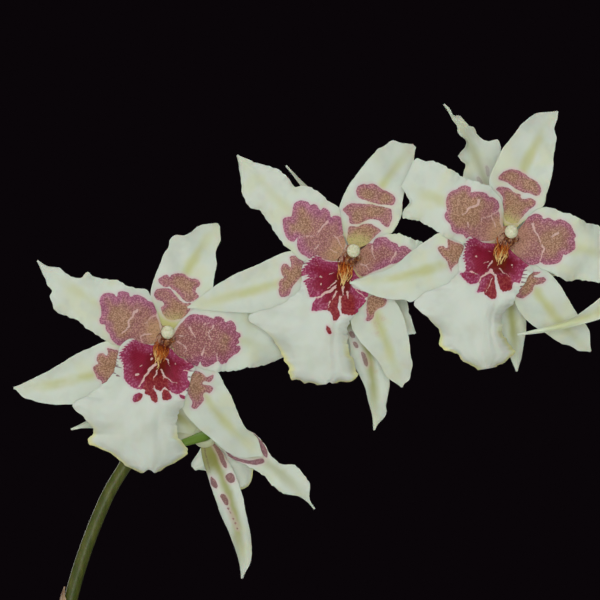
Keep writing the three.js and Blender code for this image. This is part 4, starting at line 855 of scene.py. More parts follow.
    },
    ("rear_3", "hang"): {},
}

# Small pulls on an outline: the place in marks, how far it is drawn to the right and down, and how widely
PULLS = {
    ("front_1", "left_petal"): [(-77, -62, 0, -4.5, 7), (-114.5, -48, 4, 0.5, 7)],
    ("front_1", "dorsal"): [(10, -101, -1, -3, 10), (1, -92, 1.5, 1, 7), (56, -116, -1.5, 2, 5),
        (54, -86, -2.5, 0, 13)],
    ("front_1", "left_sepal"): [(-143, 57, 0, 2.5, 10), (-95, 18, 0, 1, 18)],
    ("front_1", "right_petal"): [(12, 12, -4, 6, 12), (22, 24, 0, 4, 10)],
    ("front_1", "lip"): [(17, 11, 0, 5, 10), (-16.5, 135.5, 0, -3, 6), (-10, 135, 0, 1.2, 4),
        (4, 133, 0, -1.5, 6), (-75, 109, -3.5, 1, 6), (-33, 5, 0, -5, 12)],
    ("front_2", "left_petal"): [(-54, -76, -1.5, 4.5, 9)],
    ("front_2", "dorsal"): [(34, -115, 1.5, 3, 10), (51, -117, 0.5, 1, 7)],
    ("front_2", "right_petal"): [(10, 8, -4, 6, 12), (14, 18, 0, 3, 9)],
    ("front_2", "right_sepal"): [(59, 122, 2.5, 1.5, 8)],
    ("front_2", "lip"): [(2, 119, 0, 6, 16), (-21, 126, 0.5, -2, 3.5), (-45, 125, 0, 2.5, 4.5),
        (-57, 121, -1, 2, 4), (-33, 2, 0, -4, 9), (11, 13, 0, 5, 10)],
    ("front_3", "left_petal"): [(-91, -76, 0, -4.5, 9), (-102, -36, 4.5, 0.5, 7.5), (-82, -7, 0.5, -5, 20),
        (-102, -16, 0, -7, 13), (-90, -12, 0, -3, 11)],
    ("front_3", "right_petal"): [(13, 9, -4, 6, 12), (20, 22, -1, 5, 12)],
    ("front_3", "dorsal"): [(51, -110, -3.5, 0, 11)],
    ("front_3", "left_sepal"): [(-96, 62, 0, 3, 8), (-117, 24, 0.5, 3, 24)],
    ("front_3", "right_sepal"): [(64, 111.5, 0.5, -3, 11)],
    ("front_3", "lip"): [(-37, 3, 0, -5, 13), (-39, 24, -6, 0, 15), (-76, 95, 5, -1, 16),
        (-55, 120, 1.5, -4, 14), (-49, 119, 0, -2.5, 5), (-2, 125, 0, 2, 8)],
    ("rear_1", "lip"): [(38, 43, 6, 10, 20)],
    ("rear_1", "back"): [(-132, -7.5, -3, 1.5, 7)],
    ("rear_2", "hang"): [(34, 123, 3, 0, 12)],
    ("rear_3", "up"): [(-45, -135.5, -1.5, 3.5, 6.5), (-26, -115.5, 1.5, -4, 7.5), (-12, -109, 0, 2.5, 9),
        (-3, -104.5, 2, -3, 6.5), (-46, -121, 2.5, 0, 7), (-38.5, -93, -3, 0, 5.5), (-37, -83, 2, 0, 8)],
}

# The blooms' surfaces

ROOT_HALF = {"sepal": 2.2, "petal": 2.2, "lip": 3.2}
ROWS_SHARE, ROWS_TO = 0.67, 0.62      # this share of the rows lies in the marked part of a blade
RUFFLE_FROM, RUFFLE_FULL = 0.15, 0.55
PHASE_LEFT, PHASE_RIGHT = 0.6, 2.4
LOBE_RISE, LOBE_AT, LOBE_SPAN = 4.5, 0.12, 0.16
APRON_DROP, APRON_FROM, APRON_FULL = 4.5, 0.3, 0.6
TILT_FROM, TILT_FULL = 4, 16
NOTCH_WAVES = [5, 9, 16, 25]          # for each unit of a blade's length
NOTCH_HEIGHT = {"sepal": 0.07, "petal": 0.26, "lip": 0.4}
NOTCH_FROM, NOTCH_FULL = 0.12, 0.4
THINNEST = 0.3                        # half the width that notches leave
CRIMP_HEIGHT = {"sepal": 0.06, "petal": 0.3, "lip": 0.45}
CRIMP_FROM, CRIMP_STRETCH = 0.72, 0.8
PLEAT, FOLD = 0.32, 0.17              # depth of the lip's pleats and of the finer folds between them
PLEATS, FOLDS = 3 * np.pi, 6.5 * np.pi
SWELL = 0.3                           # height of the broad soft unevenness of every blade
SWELL_FROM, SWELL_FULL = 8, 26
CREST_RISE, CREST_HALF, CREST_TOP = 1.0, 3.3, 0.3
BLADE_THICK, LIP_THICK = 0.55, 0.6
EDGE_SHARE, EDGE_FADE = 0.35, 3       # how thin the very edge is, and how far in it is full


def through(heights, t):
    start, middle, end = heights
    return start * (1 - t) * (1 - 2 * t) + 4 * middle * t * (1 - t) + end * t * (2 * t - 1)


def notches(t, seed):
    """Small uneven waves along an edge."""
    draw = random.Random(seed)
    total = sum(np.sin(2 * np.pi * (k * t + draw.random())) / (1 + k / 12) for k in NOTCH_WAVES)
    return total * ease(t, NOTCH_FROM, NOTCH_FULL)


def pull(x, y, scale, pulls):
    """Draws the blade's plane out or in round a few places."""
    for at_x, at_y, right, down, spread in pulls:
        away = np.hypot(x / scale / MARK - at_x, y / scale / MARK + at_y)
        share = np.maximum(0, 1 - (away / spread) ** 2) ** 2 * MARK * scale
        x, y = x + right * share, y - down * share
    return x, y


def half_widths(part, side, t, seed):
    """Half the width of one side of a blade, with its notches."""
    half = smooth_list([ROOT_HALF[part["layer"]], *part[side]], t)
    notch = NOTCH_HEIGHT[part["layer"]] * notches(t, seed) * ease(half, 1, 5)
    return np.maximum(half + notch, THINNEST)


def blade_surface(part, tilt, scale, rows, columns, seed, pulls):
    """Grids of x, y, z, of the share of the length, and of the distances from the edge and the middle."""
    t = np.interp(np.linspace(0, 1, rows + 1), (0, ROWS_SHARE, 1), (0, ROWS_TO, 1))
    v = np.linspace(1, -1, columns + 1)
    base, tip = np.array(part["base"], float), np.array(part["tip"], float)
    along = (tip - base) / np.linalg.norm(tip - base)
    middle = (base + tip) / 2 + 2 * part["bow"] * np.array([-along[1], along[0]])
    s = t[:, None]
    centre = base * (1 - s) ** 2 + 2 * middle * s * (1 - s) + tip * s * s
    tangent = 2 * (middle - base) * (1 - s) + 2 * (tip - middle) * s
    tangent /= np.linalg.norm(tangent, axis=1)[:, None]
    left, right = half_widths(part, "left", t, seed), half_widths(part, "right", t, seed + 1)
    t, v = np.meshgrid(t, v, indexing="ij")
    half = np.where(v > 0, left[:, None], right[:, None])
    reach = v * half
    x = centre[:, :1] - tangent[:, 1:] * reach
    y = centre[:, 1:] + tangent[:, :1] * reach
    x, y = pull(x, y, scale, pulls)
    wave = np.sin(2 * np.pi * part["waves"] * t + np.where(v > 0, PHASE_LEFT, PHASE_RIGHT))
    fade = np.minimum(1, 4 * t) * np.minimum(1, 5 * (1 - t) + 0.2)
    frill = part["ruffle"] * wave * ease(t, RUFFLE_FROM, RUFFLE_FULL)
    z = through(part["lift"], t) + v * v * fade * (part["cup"] + frill)
    if part["layer"] == "lip":
        near = np.maximum(0, 1 - np.abs(t - LOBE_AT) / LOBE_SPAN)
        z += (LOBE_RISE * near - APRON_DROP * ease(t, APRON_FROM, APRON_FULL)) * v * v
        z += PLEAT * fade * t * np.cos(PLEATS * v)
        z += FOLD * fade * t * t * np.sin(FOLDS * v + 2 * t + seed) * (1 - 0.4 * v * v)
    stretched = t * CRIMP_STRETCH
    crimp = np.where(v > 0, notches(stretched, seed + 2), notches(stretched, seed + 3))
    z += CRIMP_HEIGHT[part["layer"]] * ease(np.abs(v), CRIMP_FROM, 1) * crimp
    away = np.hypot(x, y)
    swell = np.sin(0.41 * x + 0.27 * y + seed) + np.sin(0.36 * y - 0.29 * x + 2 * seed)
    z += SWELL * ease(away, SWELL_FROM, SWELL_FULL) * swell
    z += ease(away, TILT_FROM, TILT_FULL) * (tilt[0] * x + tilt[1] * y)
    return x, y, z, t, (1 - np.abs(v)) * half, reach


BLEND = 0.55                     # how softly neighbouring spots run together, in millimetres
SHRINK = 0.3                     # how much smaller spots are drawn, because they run together
FAR = 15.0                       # a distance that no marking reaches
DEEP_INSIDE = -20
ALL_TAN = -4.0
CRACK_TAPER = 0.55
PATCH_WANDER, CRACK_WANDER = 0.06, 0.12
CURVE_STEPS = (0, 0.25, 0.5, 0.75)    # between two points of an outline


def wander(x, y, reach):
    """Shifts places a little, so that drawn outlines lose their plain arcs and straights."""
    dx = np.sin(1.9 * x + 1.3 * y) + 0.7 * np.sin(4.1 * y - 2.3 * x + 1) + 0.5 * np.sin(7.7 * x + 5.1 * y)
    dy = np.sin(2.3 * y - 1.1 * x + 2) + 0.7 * np.sin(3.7 * x + 2.9 * y) + 0.5 * np.sin(8.3 * y - 4.7 * x)
    return x + reach * dx, y + reach * dy


def spot_distance(x, y, spots):
    """How far each point is outside the spots, run together; negative inside."""
    total = np.full_like(x, 1e-12)
    for px, py, radius in spots:
        away = np.hypot(x - px * MARK, y + py * MARK) - radius * MARK + SHRINK
        total += np.exp(np.minimum(-away / BLEND, 60))
    return np.clip(-BLEND * np.log(total), DEEP_INSIDE, FAR)


def segment_distance(x, y, a, b):
    a, b = np.array(a, float) * (MARK, -MARK), np.array(b, float) * (MARK, -MARK)
    d = b - a
    share = np.clip(((x - a[0]) * d[0] + (y - a[1]) * d[1]) / np.dot(d, d), 0, 1)
    return np.hypot(x - a[0] - share * d[0], y - a[1] - share * d[1]), share


def line_distance(x, y, lines):
    """Distance from the sides of lines, each of which gets thinner from its first point to its last."""
    nearest = np.full_like(x, FAR)
    for half, *points in lines:
        for k, (a, b) in enumerate(zip(points, points[1:])):
            away, share = segment_distance(x, y, a, b)
            worn = 1 - CRACK_TAPER * (k + share) / (len(points) - 1)
            nearest = np.minimum(nearest, away - half * worn * MARK)
    return nearest


def rounded(outline):
    """A closed smooth curve through the points of an outline."""
    points = np.array(outline, float)
    before, after, beyond = (np.roll(points, k, axis=0) for k in (1, -1, -2))
    curve = []
    for f in CURVE_STEPS:
        curve.append(0.5 * (2 * points + (after - before) * f
                            + (2 * before - 5 * points + 4 * after - beyond) * f * f
                            + (3 * points - before - 3 * after + beyond) * f ** 3))
    return np.stack(curve, axis=1).reshape(-1, 2).tolist()


def outline_distance(x, y, outline):
    """Signed distance from a closed outline, negative inside."""
    nearest = np.full_like(x, np.inf)
    inside = np.zeros(x.shape, bool)
    for a, b in zip(outline, outline[1:] + outline[:1]):
        nearest = np.minimum(nearest, segment_distance(x, y, a, b)[0])
        ax, ay, bx, by = a[0] * MARK, -a[1] * MARK, b[0] * MARK, -b[1] * MARK
        crosses = (ay > y) != (by > y)
        level = (bx - ax) * (y - ay) / (by - ay if by != ay else 1) + ax
        inside ^= crosses & (x < level)
    return np.where(inside, -nearest, nearest)


def marking_values(x, y, marks):
    """Distances in millimetres from each kind of marking, which the materials read."""
    near = wander(x, y, PATCH_WANDER)
    patch = spot_distance(*near, marks.get("spots", []))
    for outline in marks.get("zones", []):
        patch = np.minimum(patch, outline_distance(*near, rounded(outline)))
    return {
        "patch": patch,
        "crack": line_distance(*wander(x, y, CRACK_WANDER), marks.get("cracks", [])),
        "stroke": line_distance(x, y, marks.get("strokes", [])),
        "tans": spot_distance(x, y, marks["tans"]) if "tans" in marks else np.full_like(x, ALL_TAN),
        "stain": spot_distance(x, y, marks.get("stains", [])),
        "crest": segment_distance(x, y, *marks["crest"])[0] if "crest" in marks else np.full_like(x, FAR),
    }


SEEDED_AT = 0.36                 # where along a blade its seeded patch lies
SEEDED_SCALLOPS = 9


def seeded_marks(part, seed):
    """A scalloped patch a third of the way along, for parts that the picture doesn't show."""
    draw = random.Random(seed)
    base, tip = np.array(part["base"], float), np.array(part["tip"], float)
    centre = base + (tip - base) * SEEDED_AT
    wide = part["left"][len(part["left"]) // 3]
    spots = [(centre[0] / MARK, -centre[1] / MARK, 0.45 * wide / MARK)]
    for k in range(SEEDED_SCALLOPS):
        turn = 2 * math.pi * k / SEEDED_SCALLOPS + draw.uniform(-0.2, 0.2)
        reach = 0.55 * wide * draw.uniform(0.85, 1.1)
        x, y = centre[0] + reach * math.cos(turn), centre[1] + reach * math.sin(turn)
        spots.append((x / MARK, -y / MARK, draw.uniform(0.2, 0.3) * wide / MARK))
    return {"spots": spots}


# Rows and columns of a blade
FINE = {"tepal": (132, 50), "lip": (120, 94)}
MIDDLE = {"tepal": (58, 24), "lip": (54, 36)}
COARSE = {"tepal": (44, 16), "lip": (54, 36)}
GRIDS = {"front_1": FINE, "front_2": FINE, "front_3": FINE,
         "rear_1": MIDDLE, "rear_2": MIDDLE, "rear_3": MIDDLE}
STREAK_ROOT = (-2, 6)            # where the lip's streaks fan out from, in marks
PLAIN_CREST = [(-1, 5), (-3, 28)]
RECEPTACLE_RADIUS, RECEPTACLE_BACK, RECEPTACLE_FRONT = 5.5, -3.5, 0.6
RECEPTACLE_SIDES = 24


def to_world(bloom, x, y, z):
    """From the bloom's own plane, which stands upright, to the plant's frame."""
    ax, ay, az = bloom["at"]
    depth = z if bloom["faces"] == "away" else -z
    return np.stack([ax + x, ay + depth, az + y], axis=-1)


def placed(bloom, body):
    points, faces = body
    return to_world(bloom, *points.T), faces


def add_blade(shape, bloom, part, marks, size, seed, thick, pulls, green=0.0):
    """Adds a petal, a sepal or a lip, and gives back the grids of its front."""
    scale = (VIEW_DISTANCE + bloom["at"][1]) / VIEW_DISTANCE
    x, y, z, t, edge, reach = blade_surface(part, bloom["tilt"], scale, *size, seed, pulls)
    if marks is None:
        marks = seeded_marks(part, seed)
    mark_x, mark_y = x / scale, y / scale
    grids = marking_values(mark_x, mark_y, marks)
    z = z + CREST_RISE * ease(grids["crest"], CREST_HALF, CREST_TOP)
    fan = np.arctan2(mark_x - STREAK_ROOT[0] * MARK, -(mark_y + STREAK_ROOT[1] * MARK))
    grids.update(edge=edge, rib=reach, along=t, heart=np.hypot(x, y), fan=fan)
    half = thick * np.minimum(1, EDGE_SHARE + edge / EDGE_FADE) / 2
    sides = [to_world(bloom, x, y, z + shift).reshape(-1, 3) for shift in (half, -half)]
    shape.add((np.concatenate(sides), sheet_faces(*x.shape)),
              **{name: on_both(grid) for name, grid in grids.items()},
              behind=np.repeat([0.0, 1.0], x.size),
              mauve=marks.get("mauve", 1.0) * (part["layer"] == "petal"), green=green,
              faint=marks.get("faint", 0.0), deep=marks.get("deep", 0.0))
    return x, y, z + half


def add_receptacle(shape, bloom):
    """The small domed disc that the petals grow from."""
    outline = [(0, RECEPTACLE_BACK), (0.5, RECEPTACLE_BACK), (0.82, RECEPTACLE_BACK + 0.5), (0.95, -1.5),
               (0.9, 0), (0.6, RECEPTACLE_FRONT - 0.1), (0, RECEPTACLE_FRONT)]
    radii, heights = np.array(outline).T
    body = placed(bloom, lathe(radii * RECEPTACLE_RADIUS, heights, RECEPTACLE_SIDES))
    away = float(bloom["faces"] == "away")
    shape.add(body, patch=-3.0 + 20 * away, crack=FAR, crest=FAR, stroke=FAR, stain=FAR, tans=ALL_TAN,
              edge=3.0, rib=3.0, along=0.0, heart=10.0 - 4 * away, fan=0.0, behind=away, mauve=1.0 - away,
              green=0.35 * away, faint=0.0, deep=0.0)


def add_bloom(name, bloom, petal, lip, crest, column):
    size = GRIDS.get(name, COARSE)
    order = list(BLOOMS).index(name)
    seed = 100 * (1 + order)
    tepals = Shape()
    for k, key in enumerate(key for key in PARTS if key in bloom):
        add_blade(tepals, bloom, bloom[key], MARKS.get((name, key)), size["tepal"], seed + 4 * k, BLADE_THICK,
                  PULLS.get((name, key), []), float(key in GREEN_AT_FOOT))
    add_receptacle(tepals, bloom)
    tepals.build(f"petals_{name}", petal, "petal", f"bloom_{name}_tepals")
    skirt = Shape()
    lip_marks = MARKS.get((name, "lip")) or {"crest": PLAIN_CREST, **seeded_marks(bloom["lip"], seed)}
    surface = add_blade(skirt, bloom, bloom["lip"], lip_marks, size["lip"], seed + 60, LIP_THICK,
                        PULLS.get((name, "lip"), []))
    skirt.build(f"lip_{name}", lip, "lip", f"bloom_{name}_lip")
    threads = crest_threads(bloom, surface, lip_marks["crest"], random.Random(300 + order))
    threads.build(f"crest_{name}", crest, "lip", f"bloom_{name}_lip")
    column_shape(bloom).build(f"column_{name}", column, "column", f"bloom_{name}_column")


THREADS, THREAD_STEPS, THREAD_SIDES = 22, 14, 7
THREAD_RADIUS = 0.22


def crest_threads(bloom, surface, crest, draw):
    """Fine raised threads on the middle of the lip, which part at their lower ends."""
    x, y, z = (grid.ravel() for grid in surface)
    scale = MARK * (VIEW_DISTANCE + bloom["at"][1]) / VIEW_DISTANCE
    top, bottom = (np.array(point, float) * (scale, -scale) for point in crest)
    down = bottom - top
    across = np.array([-down[1], down[0]]) / np.linalg.norm(down)
    shape = Shape()
    for k in range(THREADS):
        place = 2 * k / (THREADS - 1) - 1
        begin, end = draw.uniform(-0.1, 0.2), draw.uniform(0.7, 1.06) - 0.25 * abs(place)
        steps = np.linspace(begin, end, THREAD_STEPS)
        half = CREST_HALF * (0.88 - 0.42 * ease(steps, 0.4, 1) + 0.2 * ease(steps, 0.85, 1.1))
        sway = 0.4 * np.sin(draw.uniform(9, 16) * steps + draw.uniform(0, 6))
        flat = top + down * steps[:, None] + across * (place * half + sway)[:, None]
        near = np.argmin(np.hypot(x[:, None] - flat[:, 0], y[:, None] - flat[:, 1]), axis=0)
        lift = 0.15 + draw.uniform(0.15, 0.7) * np.sin(np.pi * np.linspace(0.08, 0.92, THREAD_STEPS))
        girth = np.sin(np.pi * np.linspace(0.1, 0.93, THREAD_STEPS)) ** 0.5
        body = tube(np.column_stack([flat, z[near] + lift]),
                    THREAD_RADIUS * draw.uniform(0.7, 1.3) * girth, THREAD_SIDES)
        along = np.append(np.repeat(steps, THREAD_SIDES), steps[[0, -1]])
        shape.add(placed(bloom, body), along=along, tint=draw.random())
    return shape


COLUMN_FOOT, COLUMN_CAP = np.array((0.2, 0.9, 1.9)), np.array((1.4, 2.3, 10.6))
COLUMN_BOW = (0.3, -0.7, 0)
COLUMN_RADII = [0.6, 1.7, 1.8, 1.75, 1.8, 2.0, 2.2, 2.0]
COLUMN_SIDES = 16
CAP_RADIUS, CAP_DEPTH = 2.75, 2.2
CAP_PLACE = COLUMN_CAP + (0, 0.2, 0.6)
CAP_RINGS, CAP_SIDES = 16, 28
WINGS = [
    # points and radii of a wing, in the bloom's plane, from the column's side to its tip
    ([(-0.1, -0.6, 7.8), (-0.8, 0.6, 9.0), (-1.4, 1.9, 9.9), (-2.4, 1.6, 10.3), (-3.4, 0.4, 10.0)],
     [0.9, 0.7, 0.5, 0.4, 0.12]),
    ([(2.2, -0.9, 8.0), (3.6, -1.5, 9.0), (4.3, -0.8, 9.7), (4.5, 0.6, 9.6)], [0.8, 0.65, 0.45, 0.12]),
    ([(1.5, 0.2, 7.6), (0.9, -1.1, 8.0), (0.1, -2.2, 7.6)], [1.6, 1.3, 0.6]),
    ([(1.6, 1.0, 5.6), (2.0, -0.8, 6.4), (1.6, -2.4, 6.6), (0.8, -3.6, 6.2)], [1.8, 1.7, 1.3, 0.5]),
    ([(0.2, 0.6, 6.0), (-0.9, -0.6, 7.0), (-1.5, -2.0, 7.2), (-1.6, -3.2, 6.8)], [1.2, 1.0, 0.7, 0.2]),
]
WING_STEPS, WING_SIDES, WING_SQUASH = 9, 10, 0.55
CAP_TINT, BODY_TINT, WING_TINT = 0.0, 0.55, 1.0


def cap_body():
    """The anther cap: a ball that is flatter in depth and a little wider in front."""
    lifts = np.linspace(0, np.pi, CAP_RINGS + 2)
    points, faces = lathe(CAP_RADIUS * np.sin(lifts), -CAP_DEPTH * np.cos(lifts), CAP_SIDES)
    points[:, 0] *= 1 + 0.1 * points[:, 2] / CAP_DEPTH
    points[:, 1] *= 1.02
    return points + CAP_PLACE, faces


def column_shape(bloom):
    shape = Shape()
    shares = np.linspace(0, 1, len(COLUMN_RADII))
    path = COLUMN_FOOT + (COLUMN_CAP - COLUMN_FOOT) * shares[:, None]
    path = path + np.outer(np.sin(np.pi * shares), COLUMN_BOW)
    shape.add(placed(bloom, tube(path, COLUMN_RADII, COLUMN_SIDES)), tint=BODY_TINT)
    shares = np.linspace(0, 1, WING_STEPS)
    for spine, radii in WINGS:
        wing = tube(smooth_list(spine, shares), smooth_list(radii, shares), WING_SIDES, WING_SQUASH)
        shape.add(placed(bloom, wing), tint=WING_TINT)
    shape.add(placed(bloom, cap_body()), tint=CAP_TINT)
    return shape


# The spike

SPIKE_ROUTE = [
    (0, 0, 112), (0.5, 0.5, 200), (-1, 2, 322), (-1.4, 5, 398), (0.5, 7, 432), (3.4, 8, 448.7),
    (10.1, 11, 471), (19.4, 13, 493.4), (27.3, 14, 506.7), (34, 15, 519), (43.3, 15.5, 534),
    (58, 13, 548.7), (74.8, 9, 558), (91.6, 4, 565.5), (108.4, 0, 572), (125.2, -4, 579),
    (142, -8, 587.3), (158.6, -12, 594), (179.3, -17, 598.5), (202, -20, 599.5), (224.6, -23, 596.3),
    (252.2, -29, 588), (281.7, -38, 577), (306.3, -48, 566), (322, -52, 555), (334, -55, 541),
]
SPIKE_STEPS, SPIKE_SIDES = 260, 16
SPIKE_RADII = (3.2, 2.3, 1.0)    # foot, first bloom's stalk, tip
SPIKE_MID = 0.58
# The point of the route that each bloom's stalk starts from, and the length of the scale below it
STALKS = {"front_1": (9, 10), "rear_1": (8, 11), "front_2": (14, 8), "rear_2": (13, 8),
          "front_3": (17, 8), "rear_3": (16, 7), "front_4": (21, 7), "rear_4": (22, 6)}
STALK_RADII, STALK_SIDES, STALK_STEPS = (1.25, 2.35), 14, 26
STALK_NECK, STALK_SHOULDER, STALK_GAP = 7, 0.4, 3.8
OVARY_RIBS, OVARY_RIB = 3, 0.1
BRACTS = [(0.1, 26), (0.2, 24), (0.31, 24), (0.417, 23)]     # share of the stem's length, and length
BRACT_ROWS, BRACT_THICK, BRACT_GAP, BRACT_REACH = 22, 0.35, 0.6, 2.7
SCALE_ROWS, SCALE_THICK, SCALE_GAP, SCALE_REACH = 14, 0.3, 0.35, 1.5
CLASP_COLUMNS, CLASP_NARROWS = 18, 0.96
CLASP_FRONT = np.array((-0.85, -0.5, 0.15))     # the side that every bract and scale covers
NODE_SWELL, JOINT_SWELL, SWELL_WIDTH = 0.35, 0.45, 0.006
RIPE, UNRIPE = 1.0, 0.25         # how olive a stalk is

Bud = namedtuple("Bud", "start foot length radius")
BUDS = [
    # start is the point of the route that its stalk comes from
    Bud(23, (322, -62, 578), 23, 6),
    Bud(24, (338, -42, 562), 18, 5),
    Bud(25, (339, -57, 534), 13, 3.8),
]
BUD_STALK_RADII, BUD_STALK_STEPS, BUD_STALK_SIDES = (0.95, 1.5), 12, 12
BUD_SHAPE = [(0, 0), (0.35, 0.02), (0.85, 0.22), (1, 0.45), (0.75, 0.72), (0.32, 0.92), (0, 1)]
BUD_STEPS, BUD_SIDES = 40, 30
BUD_FLATTEN, BUD_CLEAR, BUD_POINT = 0.85, 0.3, 0.02
SEPAL_SEAMS, SEAM_DEPTH = 3, 0.05


def centred_route(points, shares):
    """Places at shares of the steps of a smooth curve through uneven points."""
    points = np.array(points, float)
    ends = [2 * points[0] - points[1], *points, 2 * points[-1] - points[-2]]
    found = []
    for share in shares:
        place = share * (len(points) - 1)
        k = min(int(place), len(points) - 2)
        f = place - k
        p = ends[k:k + 4]
        d = [math.sqrt(np.linalg.norm(b - a)) for a, b in zip(p, p[1:])]
        first = (p[1] - p[0]) / d[0] - (p[2] - p[0]) / (d[0] + d[1]) + (p[2] - p[1]) / d[1]
        last = (p[2] - p[1]) / d[1] - (p[3] - p[1]) / (d[1] + d[2]) + (p[3] - p[2]) / d[2]
        a, b = first * d[1], last * d[1]
        turn = 2 * p[1] - 2 * p[2] + a + b
        found.append(p[1] + a * f + (3 * p[2] - 3 * p[1] - 2 * a - b) * f * f + turn * f ** 3)
    return np.array(found)


class Spike:
    """The stem's middle line, at even shares of the route, and how far along its length each point is."""

    def __init__(self):
        self.shares = np.linspace(0, 1, SPIKE_STEPS)
        self.path = centred_route(SPIKE_ROUTE, self.shares)
        steps = np.linalg.norm(np.diff(self.path, axis=0), axis=1)
        self.length = steps.sum()
        self.reached = np.concatenate([[0], np.cumsum(steps)]) / self.length

    def radius(self, share):
        foot, middle, tip = SPIKE_RADII
        low = foot + (middle - foot) * share / SPIKE_MID
        high = middle + (tip - middle) * (share - SPIKE_MID) / (1 - SPIKE_MID)
        return np.where(share < SPIKE_MID, low, high)

    def clasp(self, start, length, gap, reach, thick):
        """A scale that clasps the stem. gap and reach give, at shares of its length, its clearance from
        the stem and how far round it goes, in radians."""
        rows = len(gap)
        at = np.linspace(start, start + length / self.length, rows)
        line = np.stack([np.interp(at, self.reached, self.path[:, k]) for k in range(3)], axis=1)
        radii = self.radius(np.interp(at, self.reached, self.shares)) + gap
        grids = []
        for inset in (0, thick):
            for centre, direction, radius, turn in zip(line, headings(line), radii, reach):
                front = CLASP_FRONT - direction * np.dot(CLASP_FRONT, direction)
                front /= np.linalg.norm(front)
                side = np.cross(direction, front)
                angles = np.linspace(-turn, turn, CLASP_COLUMNS)
                ring = np.outer(np.cos(angles), front) + np.outer(np.sin(angles), side)
                grids.append(centre + (radius - inset) * ring)
        return np.concatenate(grids), sheet_faces(rows, CLASP_COLUMNS)


def bezier(points, shares):
    s = np.asarray(shares)[:, None]
    a, b, c, d = (np.array(p, float) for p in points)
    return a * (1 - s) ** 3 + 3 * b * s * (1 - s) ** 2 + 3 * c * s * s * (1 - s) + d * s ** 3


def route_share(point):
    return point / (len(SPIKE_ROUTE) - 1)


def stalk_body(bloom, start):
    """A bloom's stalk, which gets thicker and three-ribbed towards the bloom."""
    side = -1 if bloom["faces"] == "away" else 1
    start = np.array(SPIKE_ROUTE[start], float)
    end = np.array(bloom["at"], float) + (0, side * STALK_GAP, 0)
    neck = end + (0, side * STALK_NECK, 0)
    shoulder = start + (neck - start) * STALK_SHOULDER
    steps = np.linspace(0, 1, STALK_STEPS)
    curve = bezier((start, shoulder, neck, end), steps)
    thin, full = STALK_RADII
    points, faces = tube(curve, thin + (full - thin) * ease(steps, 0.3, 1), STALK_SIDES)
    ribs = np.append(np.tile(OVARY_RIB * np.cos(OVARY_RIBS * circle(STALK_SIDES)), STALK_STEPS), [0, 0])
    axis = np.concatenate([np.repeat(curve, STALK_SIDES, axis=0), curve[:1], curve[-1:]])
    return points + (points - axis) * ribs[:, None], faces


def add_spike(stem, husk):
    spike = Spike()
    swell = sum(NODE_SWELL * np.exp(-((spike.reached - place - SWELL_WIDTH) / SWELL_WIDTH) ** 2)
                for place, _ in BRACTS)
    swell = swell + sum(JOINT_SWELL * np.exp(-((spike.shares - route_share(start)) / SWELL_WIDTH) ** 2)
                        for start, _ in STALKS.values())
    shape = Shape()
    shape.add(tube(spike.path, spike.radius(spike.shares) + swell, SPIKE_SIDES), ripe=RIPE)
    for name, bloom in BLOOMS.items():
        shape.add(stalk_body(bloom, STALKS[name][0]), ripe=UNRIPE)
    for bud in BUDS:
        line = np.linspace(SPIKE_ROUTE[bud.start], bud.foot, BUD_STALK_STEPS)
        radii = np.linspace(*BUD_STALK_RADII, BUD_STALK_STEPS)
        shape.add(tube(line, radii, BUD_STALK_SIDES), ripe=UNRIPE)
    shape.build("stem", stem, "stem", "flower_spike")
    husks = Shape()
    step = np.linspace(0, 1, BRACT_ROWS)
    for place, length in BRACTS:
        reach = BRACT_REACH * (1 - CLASP_NARROWS * ease(step, 0.25, 1))
        body = spike.clasp(place, length, BRACT_GAP + ease(step, 0, 0.6), reach, BRACT_THICK)
        husks.add(body, along=on_both(np.repeat(step, CLASP_COLUMNS)))
    step = np.linspace(0, 1, SCALE_ROWS)
    for start, length in STALKS.values():
        place = np.interp(route_share(start), spike.shares, spike.reached)
        reach = SCALE_REACH * (1 - CLASP_NARROWS * ease(step, 0.1, 1))
        body = spike.clasp(place, length, SCALE_GAP + 1.3 * step ** 2, reach, SCALE_THICK)
        husks.add(body, along=on_both(np.repeat(step, CLASP_COLUMNS)))
    husks.build("bracts", husk, "stem", "flower_spike")


def add_buds(material):
    seams = lambda turns: 1 - SEAM_DEPTH * np.abs(np.cos(SEPAL_SEAMS / 2 * turns))
    for number, bud in enumerate(BUDS, 1):
        profile = smooth_list(BUD_SHAPE, np.linspace(0, 1, BUD_STEPS))
        radii = np.maximum(profile[:, 0], BUD_POINT) * bud.radius
        points, faces = lathe(radii, profile[:, 1] * bud.length, BUD_SIDES, seams)
        heading = Vector(bud.foot) - Vector(SPIKE_ROUTE[bud.start])
        turn = np.array(heading.to_track_quat("Z", "Y").to_matrix())
        seat = np.array(bud.foot) + np.array(heading.normalized()) * BUD_CLEAR
        shape = Shape()
        shape.add((points * (1, BUD_FLATTEN, 1) @ turn.T + seat, faces), along=points[:, 2] / bud.length)
        shape.build(f"bud_{number}_body", material, "bud", f"bud_{number}")


# Pseudobulbs and their husks

POT_HEIGHT, POT_TOP_RADIUS, POT_BASE_RADIUS = 130, 72, 50
POT_WALL, POT_FLOOR, RIM_HEIGHT, RIM_PROUD = 5, 8, 24, 4
BARK_TOP, BARK_CROWN = 116, 6

